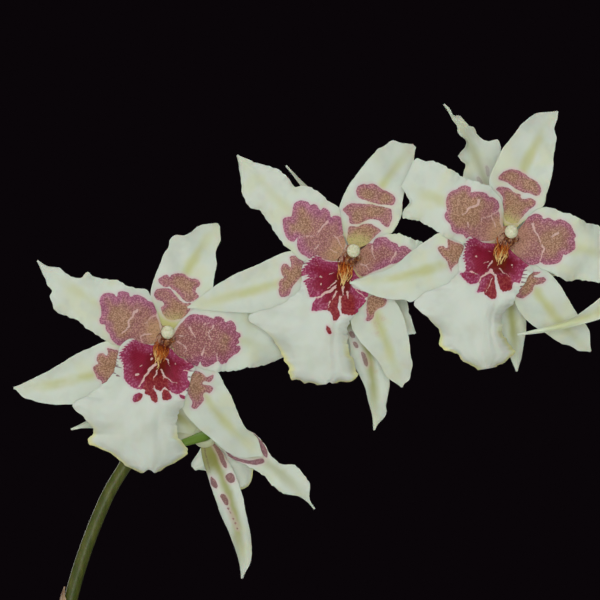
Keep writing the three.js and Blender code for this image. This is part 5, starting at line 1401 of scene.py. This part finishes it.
Bulb = namedtuple("Bulb", "at turn height wide deep lean")
BULBS = [
    Bulb((29, -6), 0.25, 92, 22, 12, 0.08),
    Bulb((-28, 8), -0.3, 96, 22, 12, -0.08),
    Bulb((-20, -26), 0.3, 80, 20, 11, -0.1),
    Bulb((17, 31), -0.2, 74, 18, 10, 0.1),
]
BULB_SINK = 8
BULB_SHAPE = [(0.5, 0), (0.8, 0.1), (0.98, 0.28), (0.94, 0.5), (0.7, 0.74), (0.44, 0.93), (0.34, 1)]
BULB_STEPS, BULB_SIDES = 48, 64
BULB_FOOT, BULB_HEAD = (0.7, 0.95), (0.97, 0.9, 0.7)         # how its ends are drawn in
BULB_RIBS, BULB_RIB, BULB_SOFTEN = 9, 0.028, 7
HUSKS = [(0.42, 0.5), (0.3, 1.2)]     # height as a share of the bulb's, and distance from the bulb
HUSK_COLUMNS, HUSK_ROWS = 72, 14
HUSK_ROUND, HUSK_THICK, HUSK_FLARE = 2.6, 0.35, 0.9
HUSK_FOOT, HUSK_FROM = 0.07, 0.09
HUSK_TEARS, HUSK_TORN = (1, 2, 5, 9, 14), 0.022
HUSK_DROOP, HUSK_ROUNDED = 0.55, 1.6     # how much lower a husk is at its sides
FULL_TURN = 6.28


def bark_level(x, y):
    r = np.minimum(1, np.hypot(x, y) / POT_TOP_RADIUS)
    return BARK_TOP + BARK_CROWN * (1 - r * r)


def bulb_frame(bulb, points):
    """From a bulb's own frame, where it is one wide and one deep, to the plant's."""
    points = points * (bulb.wide, bulb.deep, 1)
    c, s = math.cos(bulb.turn), math.sin(bulb.turn)
    points = points @ np.array([(c, s, 0), (-s, c, 0), (0, 0, 1)])
    c, s = math.cos(bulb.lean), math.sin(bulb.lean)
    points = points @ np.array([(c, 0, -s), (0, 1, 0), (s, 0, c)])
    return points + (*bulb.at, bark_level(*bulb.at) - BULB_SINK)


def add_bulbs(flesh, husk):
    levels = np.linspace(0, 1, BULB_STEPS)
    shape_radii, shape_levels = np.array(BULB_SHAPE).T
    radii = np.interp(levels, shape_levels, shape_radii)
    radii = np.pad(radii, BULB_SOFTEN // 2, mode="edge")
    radii = np.convolve(radii, np.ones(BULB_SOFTEN) / BULB_SOFTEN, mode="valid")
    radii[:len(BULB_FOOT)] *= BULB_FOOT
    radii[-len(BULB_HEAD):] *= BULB_HEAD
    for index, bulb in enumerate(BULBS):
        name = f"pseudobulb_{index + 1}"
        draw = random.Random(40 + index)
        phase = draw.random() * 6
        ribs = lambda turns: 1 - BULB_RIB * (0.5 + 0.5 * np.cos(BULB_RIBS * turns + phase)) ** 2
        points, faces = lathe([0, *radii, 0], np.array([0, *levels, 1]) * bulb.height, BULB_SIDES, ribs)
        body = Shape()
        body.add((bulb_frame(bulb, points), faces), along=points[:, 2] / bulb.height)
        body.build(f"{name}_body", flesh, "pseudobulb", name)
        wraps = Shape()
        for height, lift in HUSKS:
            add_husk(wraps, bulb, radii, levels, draw, height, lift)
        wraps.build(f"{name}_husk", husk, "pseudobulb", name)


def add_husk(shape, bulb, radii, levels, draw, height, lift):
    """A papery sheath round the foot of a bulb, with a torn upper edge."""
    facing = draw.random() * FULL_TURN
    angles = facing + np.linspace(-HUSK_ROUND, HUSK_ROUND, HUSK_COLUMNS)
    tear = sum(draw.uniform(0.4, 1) * np.sin(k * angles * 2 + draw.random() * FULL_TURN) / k
               for k in HUSK_TEARS)
    sides = np.abs(np.linspace(-1, 1, HUSK_COLUMNS)) ** HUSK_ROUNDED
    top = height * (1 - HUSK_DROOP * sides) + HUSK_TORN * tear
    level = HUSK_FOOT + (1 - HUSK_FOOT) * np.linspace(HUSK_FROM, 1, HUSK_ROWS)[:, None] * top
    wide = np.interp(level, levels, radii)
    grids = []
    for shift in (lift + HUSK_THICK, lift):
        flare = shift + HUSK_FLARE * (level / top) ** 4
        x = (wide + flare / bulb.wide) * np.cos(angles)
        y = (wide + flare / bulb.deep) * np.sin(angles)
        grids.append(np.stack([x, y, level * bulb.height], axis=-1))
    points = bulb_frame(bulb, np.array(grids).reshape(-1, 3))
    along = np.repeat(np.linspace(0, 1, HUSK_ROWS), HUSK_COLUMNS)
    shape.add((points, sheet_faces(HUSK_ROWS, HUSK_COLUMNS)), along=on_both(along))


# Leaves

Leaf = namedtuple("Leaf", "kind index seat heading length wide rise bend")
LEAVES = [
    # the bulb or the foot that it grows from, and how far out; angles in degrees
    Leaf("bulb", 0, 4.4, -64, 300, 19, 74, 112),
    Leaf("bulb", 0, 4.4, 52, 270, 18, 72, 104),
    Leaf("bulb", 1, 4.9, 110, 310, 19, 77, 106),
    Leaf("bulb", 1, 4.9, 220, 290, 18, 73, 100),
    Leaf("bulb", 2, 2, 255, 280, 18, 78, 120),
    Leaf("bulb", 3, 2, 75, 260, 17, 80, 108),
    Leaf("foot", 0, 0, -8, 240, 16, 74, 104),
    Leaf("foot", 1, 0, 168, 220, 15, 72, 98),
    Leaf("foot", 2, 0, -88, 250, 16, 70, 100),
]
LEAF_FEET = [(54, -9), (-54, 3), (12, -40)]
LEAF_SHAPE = [0.18, 0.26, 0.44, 0.7, 0.9, 1, 1, 0.97, 0.88, 0.72, 0.46, 0.06]
LEAF_SPINE_STEPS = 11            # the solids' steps along a leaf
LEAF_ROWS, LEAF_COLUMNS = 82, 21
LEAF_CROWDING = 1.25             # columns lie closer together near the midrib
LEAF_WAVE, LEAF_WAVES, LEAF_UNEVEN = 0.8, 2.3, 0.3
LEAF_THICK, LEAF_POINT = 0.9, 0.03
LEAF_SINK, FOOT_CLEAR, TOP_CLEAR = 1.5, 0.9, 0.7
FOLD_FOOT, FOLD_OUT, FOLD_OPENS = 0.45, 0.22, 2.5
GROOVE_DEPTH, GROOVE_HALF, KEEL = 0.45, 0.9, 1.4     # the keel is under the groove, and deeper
UP = np.array((0, 0, 1))


def leaf_foot(leaf):
    if leaf.kind == "bulb":
        bulb = BULBS[leaf.index]
        top = np.array((math.sin(bulb.lean), 0, math.cos(bulb.lean))) * bulb.height
        return top + (*bulb.at, bark_level(*bulb.at) - BULB_SINK + TOP_CLEAR)
    x, y = LEAF_FEET[leaf.index]
    return np.array((x, y, bark_level(x, y) - LEAF_SINK + FOOT_CLEAR))


def add_leaf(index, leaf, material):
    heading = math.radians(leaf.heading)
    out = np.array((math.cos(heading), math.sin(heading), 0))
    side = np.array((-math.sin(heading), math.cos(heading), 0))
    point = leaf_foot(leaf) + out * leaf.seat
    spine = []
    for i in range(LEAF_SPINE_STEPS + 1):
        angle = math.radians(leaf.rise - leaf.bend * (i / LEAF_SPINE_STEPS) ** 2)
        spine.append(point)
        point = point + (out * math.cos(angle) + UP * math.sin(angle)) * leaf.length / LEAF_SPINE_STEPS
    t = np.linspace(0, 1, LEAF_ROWS)
    half = np.maximum(smooth_list(LEAF_SHAPE, t), LEAF_POINT) * leaf.wide
    angle = np.radians(leaf.rise - leaf.bend * t * t)[:, None]
    normal = np.cross(out * np.cos(angle) + UP * np.sin(angle), side)
    draw = random.Random(70 + index)
    v = np.linspace(1, -1, LEAF_COLUMNS)
    v = np.sign(v) * np.abs(v) ** LEAF_CROWDING
    across = v * half[:, None]
    fold = half * (FOLD_FOOT + (FOLD_OUT - FOLD_FOOT) * np.minimum(1, FOLD_OPENS * t))
    wave = LEAF_WAVE * np.sin(2 * np.pi * (LEAF_WAVES * t + draw.random())) * ease(t, 0.25, 0.6)
    height = v * v * (fold[:, None] + wave[:, None] * (1 + LEAF_UNEVEN * np.sign(v)))
    groove = GROOVE_DEPTH * np.exp(-((across / GROOVE_HALF) ** 2)) * ease(half, 1, 5)[:, None]
    thick = LEAF_THICK * (1 - 0.5 * np.abs(v) ** 3)
    centre = smooth_list(spine, t)[:, None, :] + side * across[..., None]
    levels = (height + thick / 2 - groove, height - thick / 2 - KEEL * groove)
    points = np.array([centre + normal[:, None, :] * level[..., None] for level in levels])
    shape = Shape()
    shape.add((points, sheet_faces(LEAF_ROWS, LEAF_COLUMNS)), rib=on_both(across),
              along=on_both(np.repeat(t, LEAF_COLUMNS)), tint=draw.random())
    shape.build(f"leaf_{index + 1}_blade", material, "leaf", f"leaf_{index + 1}")


# Pot and bark

POT_SIDES, DRAIN_SIDES, BARK_SIDES = 160, 32, 72
POT_ARC_STEPS, POT_STEP = 5, 6
POT_WOBBLE, POT_WOBBLES = 0.0012, (2, 3, 4)
DRAIN_RADIUS, DRAIN_RING, DRAIN_COUNT = 5, 28, 3
DRILL_FROM, DRILL_TO = -9, 18
INSIDE_LOW, INSIDE_HIGH, INSIDE_FLOOR_RADIUS = (47, 11), (64.5, 127), 44
BAND_FOOT = POT_HEIGHT - RIM_HEIGHT
SIDE_RADIUS = POT_BASE_RADIUS + (POT_TOP_RADIUS - RIM_PROUD - POT_BASE_RADIUS) * BAND_FOOT / POT_HEIGHT
POT_CORNERS = [
    # radius, height and rounding of each corner of the wall's section
    (0, 0, 0), (POT_BASE_RADIUS - 0.4, 0, 1.6), (SIDE_RADIUS, BAND_FOOT, 0.5),
    (SIDE_RADIUS + RIM_PROUD - 0.4, BAND_FOOT + 0.6, 1.4), (POT_TOP_RADIUS, POT_HEIGHT, 1.8),
    (POT_TOP_RADIUS - POT_WALL, POT_HEIGHT, 1.2), (*INSIDE_HIGH, 1), (*INSIDE_LOW, 2),
    (INSIDE_FLOOR_RADIUS, POT_FLOOR, 1.5), (0, POT_FLOOR, 0),
]


def pot_outline():
    """The wall's section, with each corner turned through a small arc and long stretches divided."""
    outline = []
    for index, (r, h, rounding) in enumerate(POT_CORNERS):
        here = np.array((r, h), float)
        if rounding == 0:
            outline.append(here)
            continue
        before, after = (np.array(POT_CORNERS[index + k][:2], float) - here for k in (-1, 1))
        a = here + before / np.linalg.norm(before) * rounding
        b = here + after / np.linalg.norm(after) * rounding
        for s in np.linspace(0, 1, POT_ARC_STEPS):
            outline.append(a * (1 - s) ** 2 + 2 * here * s * (1 - s) + b * s * s)
    divided = [outline[0]]
    for a, b in zip(outline, outline[1:]):
        steps = max(1, int(np.linalg.norm(b - a) / POT_STEP))
        divided.extend(a + (b - a) * k / steps for k in range(1, steps + 1))
    return np.array(divided)


def add_pot(material):
    points, faces = lathe(*pot_outline().T, POT_SIDES)
    draw = random.Random(5)
    turn = np.arctan2(points[:, 1], points[:, 0])
    wobble = sum(np.sin(waves * turn + draw.random() * FULL_TURN) for waves in POT_WOBBLES)
    points[:, :2] *= np.minimum(1 + POT_WOBBLE * wobble, 1.001)[:, None]
    shape = Shape()
    shape.add((points, faces))
    pot = shape.build("pot_body", material, "terracotta", "pot")
    drill = Shape()
    for k in range(DRAIN_COUNT):
        angle = 2 * math.pi * k / DRAIN_COUNT
        points, faces = lathe([0, DRAIN_RADIUS, DRAIN_RADIUS, 0],
                              [DRILL_FROM, DRILL_FROM, DRILL_TO, DRILL_TO], DRAIN_SIDES)
        drill.add((points + (DRAIN_RING * math.cos(angle), DRAIN_RING * math.sin(angle), 0), faces))
    cutter = drill.loose("drill")
    cut = pot.modifiers.new("drains", "BOOLEAN")
    cut.operation = "DIFFERENCE"
    cut.solver = "EXACT"
    cut.object = cutter
    graph = bpy.context.evaluated_depsgraph_get()
    mesh = bpy.data.meshes.new_from_object(pot.evaluated_get(graph))
    pot.modifiers.clear()
    pot.data = mesh
    bpy.data.objects.remove(cutter)


CHIP_COUNT, LARGE_SHARE = 260, 0.62
# Length and thickness of a chip
LARGE_CHIP, SMALL_CHIP = ((9, 17), (3, 5.5)), ((5, 8), (2, 3.6))
CHIP_TILT, CHIP_DEPTH, SMALL_LIFT, LARGE_LIFT = 0.42, 2.4, 2.2, (-0.8, 1.2)
CHIP_RINGS = ((0.72, -0.5), (0.97, -0.32), (1.0, 0.1), (0.93, 0.38), (0.66, 0.5))   # width, height
CHIP_FOOT, CHIP_TOP = -0.5, 0.52
BARK_GAP, BARK_UNDER = 0.9, 4    # from the pot's wall, and below the level of the chips
BARK_RINGS = 20
GOLDEN_TURN, GOLDEN_SHARE = 2.39996, 0.618034


def inside_radius(height):
    share = (height - INSIDE_LOW[1]) / (INSIDE_HIGH[1] - INSIDE_LOW[1])
    return INSIDE_LOW[0] + (INSIDE_HIGH[0] - INSIDE_LOW[0]) * share


def add_bark(material):
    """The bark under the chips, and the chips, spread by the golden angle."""
    shape = Shape()
    edge = inside_radius(BARK_TOP - BARK_UNDER)
    crown = np.linspace(edge - 3, 3, BARK_RINGS)
    radii = [0, INSIDE_FLOOR_RADIUS - 2, INSIDE_LOW[0] - 1, edge - BARK_GAP, *crown, 0]
    heights = [POT_FLOOR + 1, POT_FLOOR + 1, INSIDE_LOW[1] + 2, BARK_TOP - 6]
    heights += [bark_level(r, 0) - BARK_UNDER for r in (*crown, 0)]
    shape.add(lathe(radii, heights, BARK_SIDES), tint=0.15)
    draw = random.Random(23)
    limit = inside_radius(BARK_TOP) - 2
    for k in range(CHIP_COUNT):
        small = k >= CHIP_COUNT * LARGE_SHARE
        lengths, depths = SMALL_CHIP if small else LARGE_CHIP
        long = draw.uniform(*lengths)
        wide = long * draw.uniform(0.55, 0.8)
        thick = draw.uniform(*depths)
        reach = (limit - long * 0.5) * math.sqrt((k * GOLDEN_SHARE) % 1)
        turn = k * GOLDEN_TURN + draw.uniform(-0.2, 0.2)
        x, y = reach * math.cos(turn), reach * math.sin(turn)
        points, faces = chip(draw, long, wide, thick)
        lean = [draw.uniform(-CHIP_TILT, CHIP_TILT) for _ in range(2)]
        tilt = Vector((*lean, 1)).to_track_quat("Z", "Y")
        level = bark_level(x, y) - CHIP_DEPTH + (SMALL_LIFT if small else draw.uniform(*LARGE_LIFT))
        points = points @ np.array(tilt.to_matrix()).T + (x, y, level)
        far = np.hypot(points[:, 0], points[:, 1])
        points[:, :2] *= np.minimum(1, (limit + 1) / np.maximum(far, 1))[:, None]
        shape.add((points, faces), tint=draw.random())
    shape.build("bark_chips", material, "bark", "bark", smooth=False)


def chip(draw, long, wide, thick):
    """An irregular flat piece: rings of a rough polygon, with worn upper and lower edges."""
    sides = draw.randint(7, 10)
    turns = np.array([2 * math.pi * (k + draw.uniform(-0.25, 0.25)) / sides for k in range(sides)])
    reach = np.array([draw.uniform(0.78, 1.0) for _ in range(sides)])
    spin = draw.uniform(0, math.pi)
    c, s = math.cos(spin), math.sin(spin)
    rings = []
    for share, height in CHIP_RINGS:
        jag = np.array([1 + draw.uniform(-0.06, 0.06) for _ in range(sides)])
        x = reach * jag * share * np.cos(turns) * long / 2
        y = reach * jag * share * np.sin(turns) * wide / 2
        z = height * thick + np.array([draw.uniform(-0.08, 0.08) * thick for _ in range(sides)])
        rings.append(np.stack([x * c - y * s, x * s + y * c, z], axis=1))
    points = np.concatenate(rings + [[(0, 0, CHIP_FOOT * thick)], [(0, 0, CHIP_TOP * thick)]])
    return points, ring_faces(len(rings), sides)


# The colours

WHITE, CREAM, COOL = srgb(219, 229, 214), srgb(219, 225, 190), srgb(203, 214, 201)
RIB_GREEN, RIB_OLIVE = srgb(198, 202, 126), srgb(164, 168, 98)
HEART_GREEN, HEART_TAN, HEART_OLIVE = srgb(212, 212, 132), srgb(214, 174, 128), srgb(142, 142, 72)
TAN, TAN_DARK, ROSE_TAN = srgb(172, 130, 99), srgb(128, 84, 64), srgb(170, 110, 114)
MAUVE, MAUVE_DEEP, DUSK = srgb(176, 102, 132), srgb(132, 62, 92), srgb(108, 62, 76)
DEEP_ROSE, STAIN = srgb(142, 58, 80), srgb(204, 168, 150)
SPECK, PINK_SPECK = srgb(212, 168, 144), srgb(214, 152, 174)
CRACK, HALO, STROKE = srgb(232, 200, 192), srgb(226, 196, 204), srgb(118, 66, 84)
CRIMSON_DEEP, CRIMSON, ROSE = srgb(112, 4, 20), srgb(146, 28, 58), srgb(168, 66, 108)
RUST, RUST_LIGHT = srgb(134, 26, 32), srgb(158, 62, 50)
LIP_WHITE, LIP_SHADE, LIP_EDGE = srgb(221, 230, 217), srgb(209, 218, 200), srgb(228, 228, 158)
CREST_DEEP, CREST_MID, CREST_LIGHT = srgb(116, 34, 10), srgb(196, 106, 36), srgb(244, 212, 140)
STREAKS = 96                     # of the lip, for each radian of its fan

# The materials


def petal_material():
    m = Shader("petal", 0.2, 0.12, 0.0012, 0.08)
    grain, fine, broad, cloud = m.noise(0.6, 2, 0.6), m.noise(0.45, 2, 0.6), m.noise(12), m.noise(7)
    behind, green, mauve, deep = m.held("behind"), m.held("green"), m.held("mauve"), m.held("deep")
    aside, heart = m.size(m.held("rib")), m.held("heart")
    drift, ragged = m.centred(cloud), m.times(m.centred(fine), 0.35)

    # White with a green midrib
    colour = m.cover(WHITE, CREAM, broad, 0.45, 0.66, 0.6)
    colour = m.cover(colour, COOL, cloud, 0.5, 0.7, 0.4)
    midrib = m.times(m.ease(m.plus(aside, m.times(cloud, 2.4)), 4.6, 1.3),
                     m.ease(m.held("along"), 1.05, 0.6),
                     m.ease(m.plus(broad, m.times(behind, 0.3)), 0.2, 0.5),
                     m.plus(0.68, m.times(mauve, -0.4), m.times(behind, 0.2)))
    colour = m.mix(midrib, colour, m.mix(behind, RIB_GREEN, RIB_OLIVE))

    # The patch, from rose to tan, with a mauve rim
    patch = m.plus(m.held("patch"), ragged)
    tan = m.ease(m.plus(m.held("tans"), m.times(drift, 10)), 2.2, -2.6)
    width = m.plus(0.5, m.times(mauve, 0.8))
    rim = m.times(m.ease(m.math("DIVIDE", m.plus(patch, m.times(drift, 3.5)), width), -3.6, -0.7),
                  m.ease(heart, 7, 13),
                  m.plus(1, m.times(tan, -0.3)),
                  m.plus(0.5, m.times(mauve, 0.5)))
    shade = m.mix(rim, m.mix(tan, ROSE_TAN, TAN), MAUVE)
    shade = m.mix(m.times(deep, m.plus(1, m.times(tan, -0.8)), 0.62), shade, DEEP_ROSE)

    # The heart of the bloom, which tints both
    tint = m.mix(green, m.mix(behind, HEART_TAN, CREAM), m.mix(behind, HEART_GREEN, HEART_OLIVE))
    reach = m.plus(heart, m.times(drift, 7), m.times(green, -1), m.times(behind, green, -5))
    share = m.times(m.ease(reach, 13.5, 5), m.plus(0.7, m.times(green, 0.17), m.times(deep, -0.5)))
    colour = m.mix(share, colour, tint)
    shade = m.mix(m.times(share, m.plus(1, m.times(behind, -0.8))), shade, tint)
    shade = m.mix(m.times(behind, 0.75), shade, DUSK)

    # Specks, pits and cracks in the patch
    fleck = m.plus(1, m.times(share, -0.5))
    shade = m.cover(shade, m.mix(rim, SPECK, PINK_SPECK), grain, 0.52, 0.6, fleck,
                    m.plus(0.68, m.times(behind, -0.3)))
    shade = m.cover(shade, m.mix(rim, TAN_DARK, MAUVE_DEEP), grain, 0.48, 0.4, fleck, 0.74)
    shade = m.cover(shade, CRACK, m.plus(m.held("crack"), ragged), 0.2, -0.14, 0.8)

    faded = m.plus(1, m.times(behind, -0.08), m.times(m.held("faint"), -1))
    stain = m.plus(m.held("stain"), m.times(drift, 8))
    colour = m.cover(colour, STAIN, stain, 1.2, -1.6, m.ease(fine, 0.35, 0.6), 0.6)
    colour = m.cover(colour, HALO, m.held("patch"), 1.5, 0.1, 0.4, faded)
    colour = m.cover(colour, shade, patch, 0.1, -0.16, faded, 0.97)
    colour = m.cover(colour, DUSK, m.held("stroke"), 0.3, -0.4, m.ease(fine, 0.3, 0.55), behind, 0.7)
    m.bump(m.plus(m.times(fine, 0.4), m.times(m.ease(aside, 1.1, 0), -0.3)), 0.08)
    return m.finish(colour, m.plus(0.46, m.times(grain, 0.14)))


def lip_material():
    m = Shader("lip", 0.14, 0.12, 0.0012, 0.05)
    grain, fine, broad = m.noise(0.9, 3, 0.6), m.noise(0.5, 2, 0.6), m.noise(10)
    fan, patch, along = m.held("fan"), m.held("patch"), m.held("along")
    heart, crest = m.held("heart"), m.held("crest")
    streaks = m.math("SINE", m.plus(m.times(fan, STREAKS), m.times(broad, 9)))

    # A white skirt with a yellow margin
    colour = m.cover(LIP_WHITE, LIP_SHADE, broad, 0.42, 0.66, 0.55)
    edge = m.plus(m.held("edge"), m.times(grain, 1.5), m.times(broad, 3))
    colour = m.cover(colour, LIP_EDGE, edge, 5.4, 2.0, m.ease(along, 0.55, 0.8))

    # The crimson zone, frayed along its streaks
    fringe = m.times(m.ease(m.size(fan), 0.9, 1.25), m.ease(heart, 11, 14))
    ragged = m.plus(patch, m.times(m.centred(fine), 0.4),
                    m.times(streaks, m.plus(0.07, m.times(fringe, 0.38))))
    depth = m.plus(ragged, m.times(m.centred(grain), 1.6))
    shade = m.cover(CRIMSON_DEEP, CRIMSON, m.plus(crest, m.times(broad, 6)), 5.5, 11)
    shade = m.cover(shade, ROSE, depth, -5.4, -0.5, 0.85)
    shade = m.cover(shade, CRIMSON_DEEP, streaks, -0.2, 1, m.ease(grain, 0.3, 0.6), 0.45)
    shade = m.cover(shade, PINK_SPECK, grain, 0.52, 0.62, m.ease(depth, -5, -1), 0.45)
    shade = m.cover(shade, CRIMSON_DEEP, grain, 0.46, 0.36, 0.5)

    # The rusty middle lobe, and the ground round the crest
    rust = m.cover(RUST, RUST_LIGHT, grain, 0.42, 0.62)
    shade = m.cover(shade, rust, m.size(m.plus(fan, 0.14)), 0.36, 0.24, m.ease(heart, 14, 17), 0.85)
    ground = m.cover(CREST_DEEP, CRIMSON_DEEP, along, 0.1, 0.3)
    shade = m.cover(shade, ground, m.plus(crest, m.times(grain, 1.6)), 4.6, 3.2, 0.9)
    crack = m.plus(m.held("crack"), m.times(m.centred(fine), 0.3))
    shade = m.cover(shade, CRACK, crack, 0.04, -0.2, 0.9)

    faded = m.plus(1, m.times(m.held("behind"), -0.7))
    colour = m.cover(colour, HALO, patch, 1.3, 0.0, 0.5, faded)
    colour = m.cover(colour, STROKE, m.held("stroke"), 0.12, -0.12, 0.85)
    colour = m.cover(colour, shade, ragged, 0.12, -0.16, faded)
    m.bump(m.plus(m.times(fine, 0.5), m.times(streaks, 0.1)), 0.08)
    return m.finish(colour, m.plus(0.48, m.times(grain, 0.14)))


def crest_material():
    m = Shader("crest", 0.3, 0.08)
    grain = m.noise(0.8, 2, 0.6)
    along = m.plus(m.held("along"), m.times(m.centred(grain), 0.5), m.times(m.centred(m.held("tint")), 0.5))
    colour = m.cover(CREST_DEEP, CREST_MID, along, 0.0, 0.35)
    colour = m.cover(colour, CREST_LIGHT, along, 0.4, 0.8)
    m.bump(grain, 0.06)
    return m.finish(colour, 0.4)


def column_material():
    m = Shader("column", 0.5, 0.1)
    grain, tint = m.noise(0.9, 2, 0.6), m.held("tint")
    cap = m.cover(srgb(228, 228, 196), srgb(206, 208, 162), grain, 0.45, 0.7)
    body = m.cover(srgb(150, 116, 70), srgb(108, 62, 34), grain, 0.4, 0.65)
    wings = m.cover(srgb(92, 34, 16), srgb(160, 106, 60), grain, 0.42, 0.6)
    colour = m.cover(cap, body, tint, 0.2, 0.4)
    colour = m.cover(colour, wings, tint, 0.7, 0.9)
    m.bump(grain, 0.08)
    return m.finish(colour, 0.4)


def stem_material():
    m = Shader("stem", 0.3, 0.05)
    streak, speck = m.noise(2.2, 3, 0.6, (1, 1, 0.16)), m.noise(0.8, 2, 0.6)
    colour = m.cover(srgb(66, 80, 22), srgb(92, 98, 38), streak, 0.3, 0.7)
    colour = m.cover(colour, srgb(96, 68, 50), speck, 0.52, 0.7, 0.55)
    colour = m.cover(colour, srgb(108, 140, 52), m.held("ripe"), 0.8, 0.3)
    m.bump(m.plus(streak, m.times(speck, 0.4)), 0.15)
    return m.finish(colour, m.plus(0.36, m.times(speck, 0.2)))


def husk_material():
    m = Shader("husk", 0.3, 0.05)
    fibre, blotch = m.noise(0.9, 3, 0.6, (1, 1, 0.08)), m.noise(7, 3, 0.55)
    colour = m.cover(srgb(150, 118, 88), srgb(205, 180, 142), fibre, 0.35, 0.68)
    colour = m.cover(colour, srgb(120, 84, 62), blotch, 0.5, 0.7, 0.6)
    colour = m.cover(colour, srgb(98, 70, 54), m.held("along"), 0.6, 1, 0.35)
    m.bump(fibre, 0.3)
    return m.finish(colour, 0.6)


def bud_material():
    m = Shader("bud", 0.45, 0.1, 0.0015)
    grain, blush = m.noise(1.2, 3, 0.6), m.noise(7, 2)
    colour = m.cover(srgb(150, 162, 92), srgb(176, 184, 118), grain, 0.35, 0.7)
    colour = m.cover(colour, srgb(138, 82, 92), blush, 0.42, 0.62, m.ease(m.held("along"), 0.1, 0.9), 0.75)
    m.bump(grain, 0.1)
    return m.finish(colour, 0.42)


def bulb_material():
    m = Shader("pseudobulb", 0.5, 0.05, 0.002)
    grain, broad, fibre = m.noise(1.1, 3, 0.6), m.noise(14, 3), m.noise(1.6, 2, 0.5, (1, 1, 0.06))
    colour = m.cover(srgb(92, 112, 46), srgb(134, 148, 72), broad, 0.35, 0.68)
    colour = m.cover(colour, srgb(150, 158, 92), fibre, 0.45, 0.7, 0.4)
    colour = m.cover(colour, srgb(128, 112, 66), m.held("along"), 0.35, 0.0, 0.5)
    colour = m.cover(colour, srgb(96, 74, 46), grain, 0.62, 0.75, 0.4)
    m.bump(m.plus(m.times(fibre, 0.7), m.times(grain, 0.3)), 0.25)
    return m.finish(colour, m.plus(0.34, m.times(grain, 0.2)))


def leaf_material():
    m = Shader("leaf", 0.5, 0.04)
    grain, broad, rib = m.noise(0.9, 3, 0.6), m.noise(26, 3), m.held("rib")
    veins = m.math("SINE", m.plus(m.times(rib, 3.4), m.times(broad, 3)))
    minor = m.math("SINE", m.plus(m.times(rib, 9.5), m.times(grain, 1.5)))
    colour = m.cover(srgb(60, 86, 34), srgb(86, 112, 48), broad, 0.35, 0.68)
    colour = m.mix(m.times(m.held("tint"), 0.35), colour, srgb(104, 124, 58))
    colour = m.cover(colour, srgb(112, 132, 66), veins, 0.2, 1, 0.2)
    colour = m.cover(colour, srgb(124, 142, 74), m.size(rib), 1.4, 0.4, 0.5)
    colour = m.cover(colour, srgb(126, 100, 54), m.held("along"), 0.93, 1.0, 0.7)
    colour = m.cover(colour, srgb(46, 60, 26), grain, 0.68, 0.78, 0.35)
    m.bump(m.plus(m.times(veins, 0.5), m.times(minor, 0.25), m.times(grain, 0.3)), 0.12)
    return m.finish(colour, m.plus(0.34, m.times(grain, 0.14)))


def bark_material():
    m = Shader("bark", 0.25)
    grain, broad, fibre = m.noise(1.2, 5, 0.65), m.noise(9, 3), m.noise(2.2, 4, 0.6, (1, 0.3, 1))
    colour = m.cover(srgb(74, 46, 30), srgb(140, 96, 62), fibre, 0.35, 0.68)
    colour = m.mix(m.times(m.held("tint"), 0.6), colour, srgb(168, 120, 78))
    colour = m.cover(colour, srgb(58, 38, 28), broad, 0.52, 0.7, 0.5)
    m.bump(m.plus(grain, m.times(fibre, 0.6)), 0.5)
    return m.finish(colour, m.plus(0.75, m.times(grain, 0.2)))


def clay_material():
    m = Shader("terracotta", 0.25)
    grain, broad, speck = m.noise(0.9, 4, 0.65), m.noise(26, 4), m.noise(2.6, 2, 0.5)
    turned, salt = m.noise(1.6, 2, 0.5, (0.02, 0.02, 1)), m.noise(17, 5, 0.62)
    colour = m.cover(srgb(170, 92, 60), srgb(192, 112, 76), broad, 0.3, 0.7)
    colour = m.cover(colour, srgb(138, 68, 44), speck, 0.58, 0.75, 0.35)
    colour = m.cover(colour, srgb(212, 186, 162), salt, 0.54, 0.74, 0.5)
    m.bump(m.plus(m.times(grain, 0.5), m.times(turned, 0.6)), 0.25)
    return m.finish(colour, m.plus(0.78, m.times(grain, 0.15)))


def floor_material():
    m = Shader("floor", 0.1)
    return m.finish(m.mix(m.noise(60, 3), srgb(196, 194, 190), srgb(202, 200, 197)), 0.9)


def main():
    add_camera()
    add_studio()
    petal, lip, crest, column = petal_material(), lip_material(), crest_material(), column_material()
    husk = husk_material()
    for name, bloom in BLOOMS.items():
        add_bloom(name, bloom, petal, lip, crest, column)
    add_spike(stem_material(), husk)
    add_buds(bud_material())
    add_bulbs(bulb_material(), husk)
    leaf = leaf_material()
    for index, row in enumerate(LEAVES):
        add_leaf(index, row, leaf)
    add_pot(clay_material())
    add_bark(bark_material())
    add_floor(floor_material())


main()
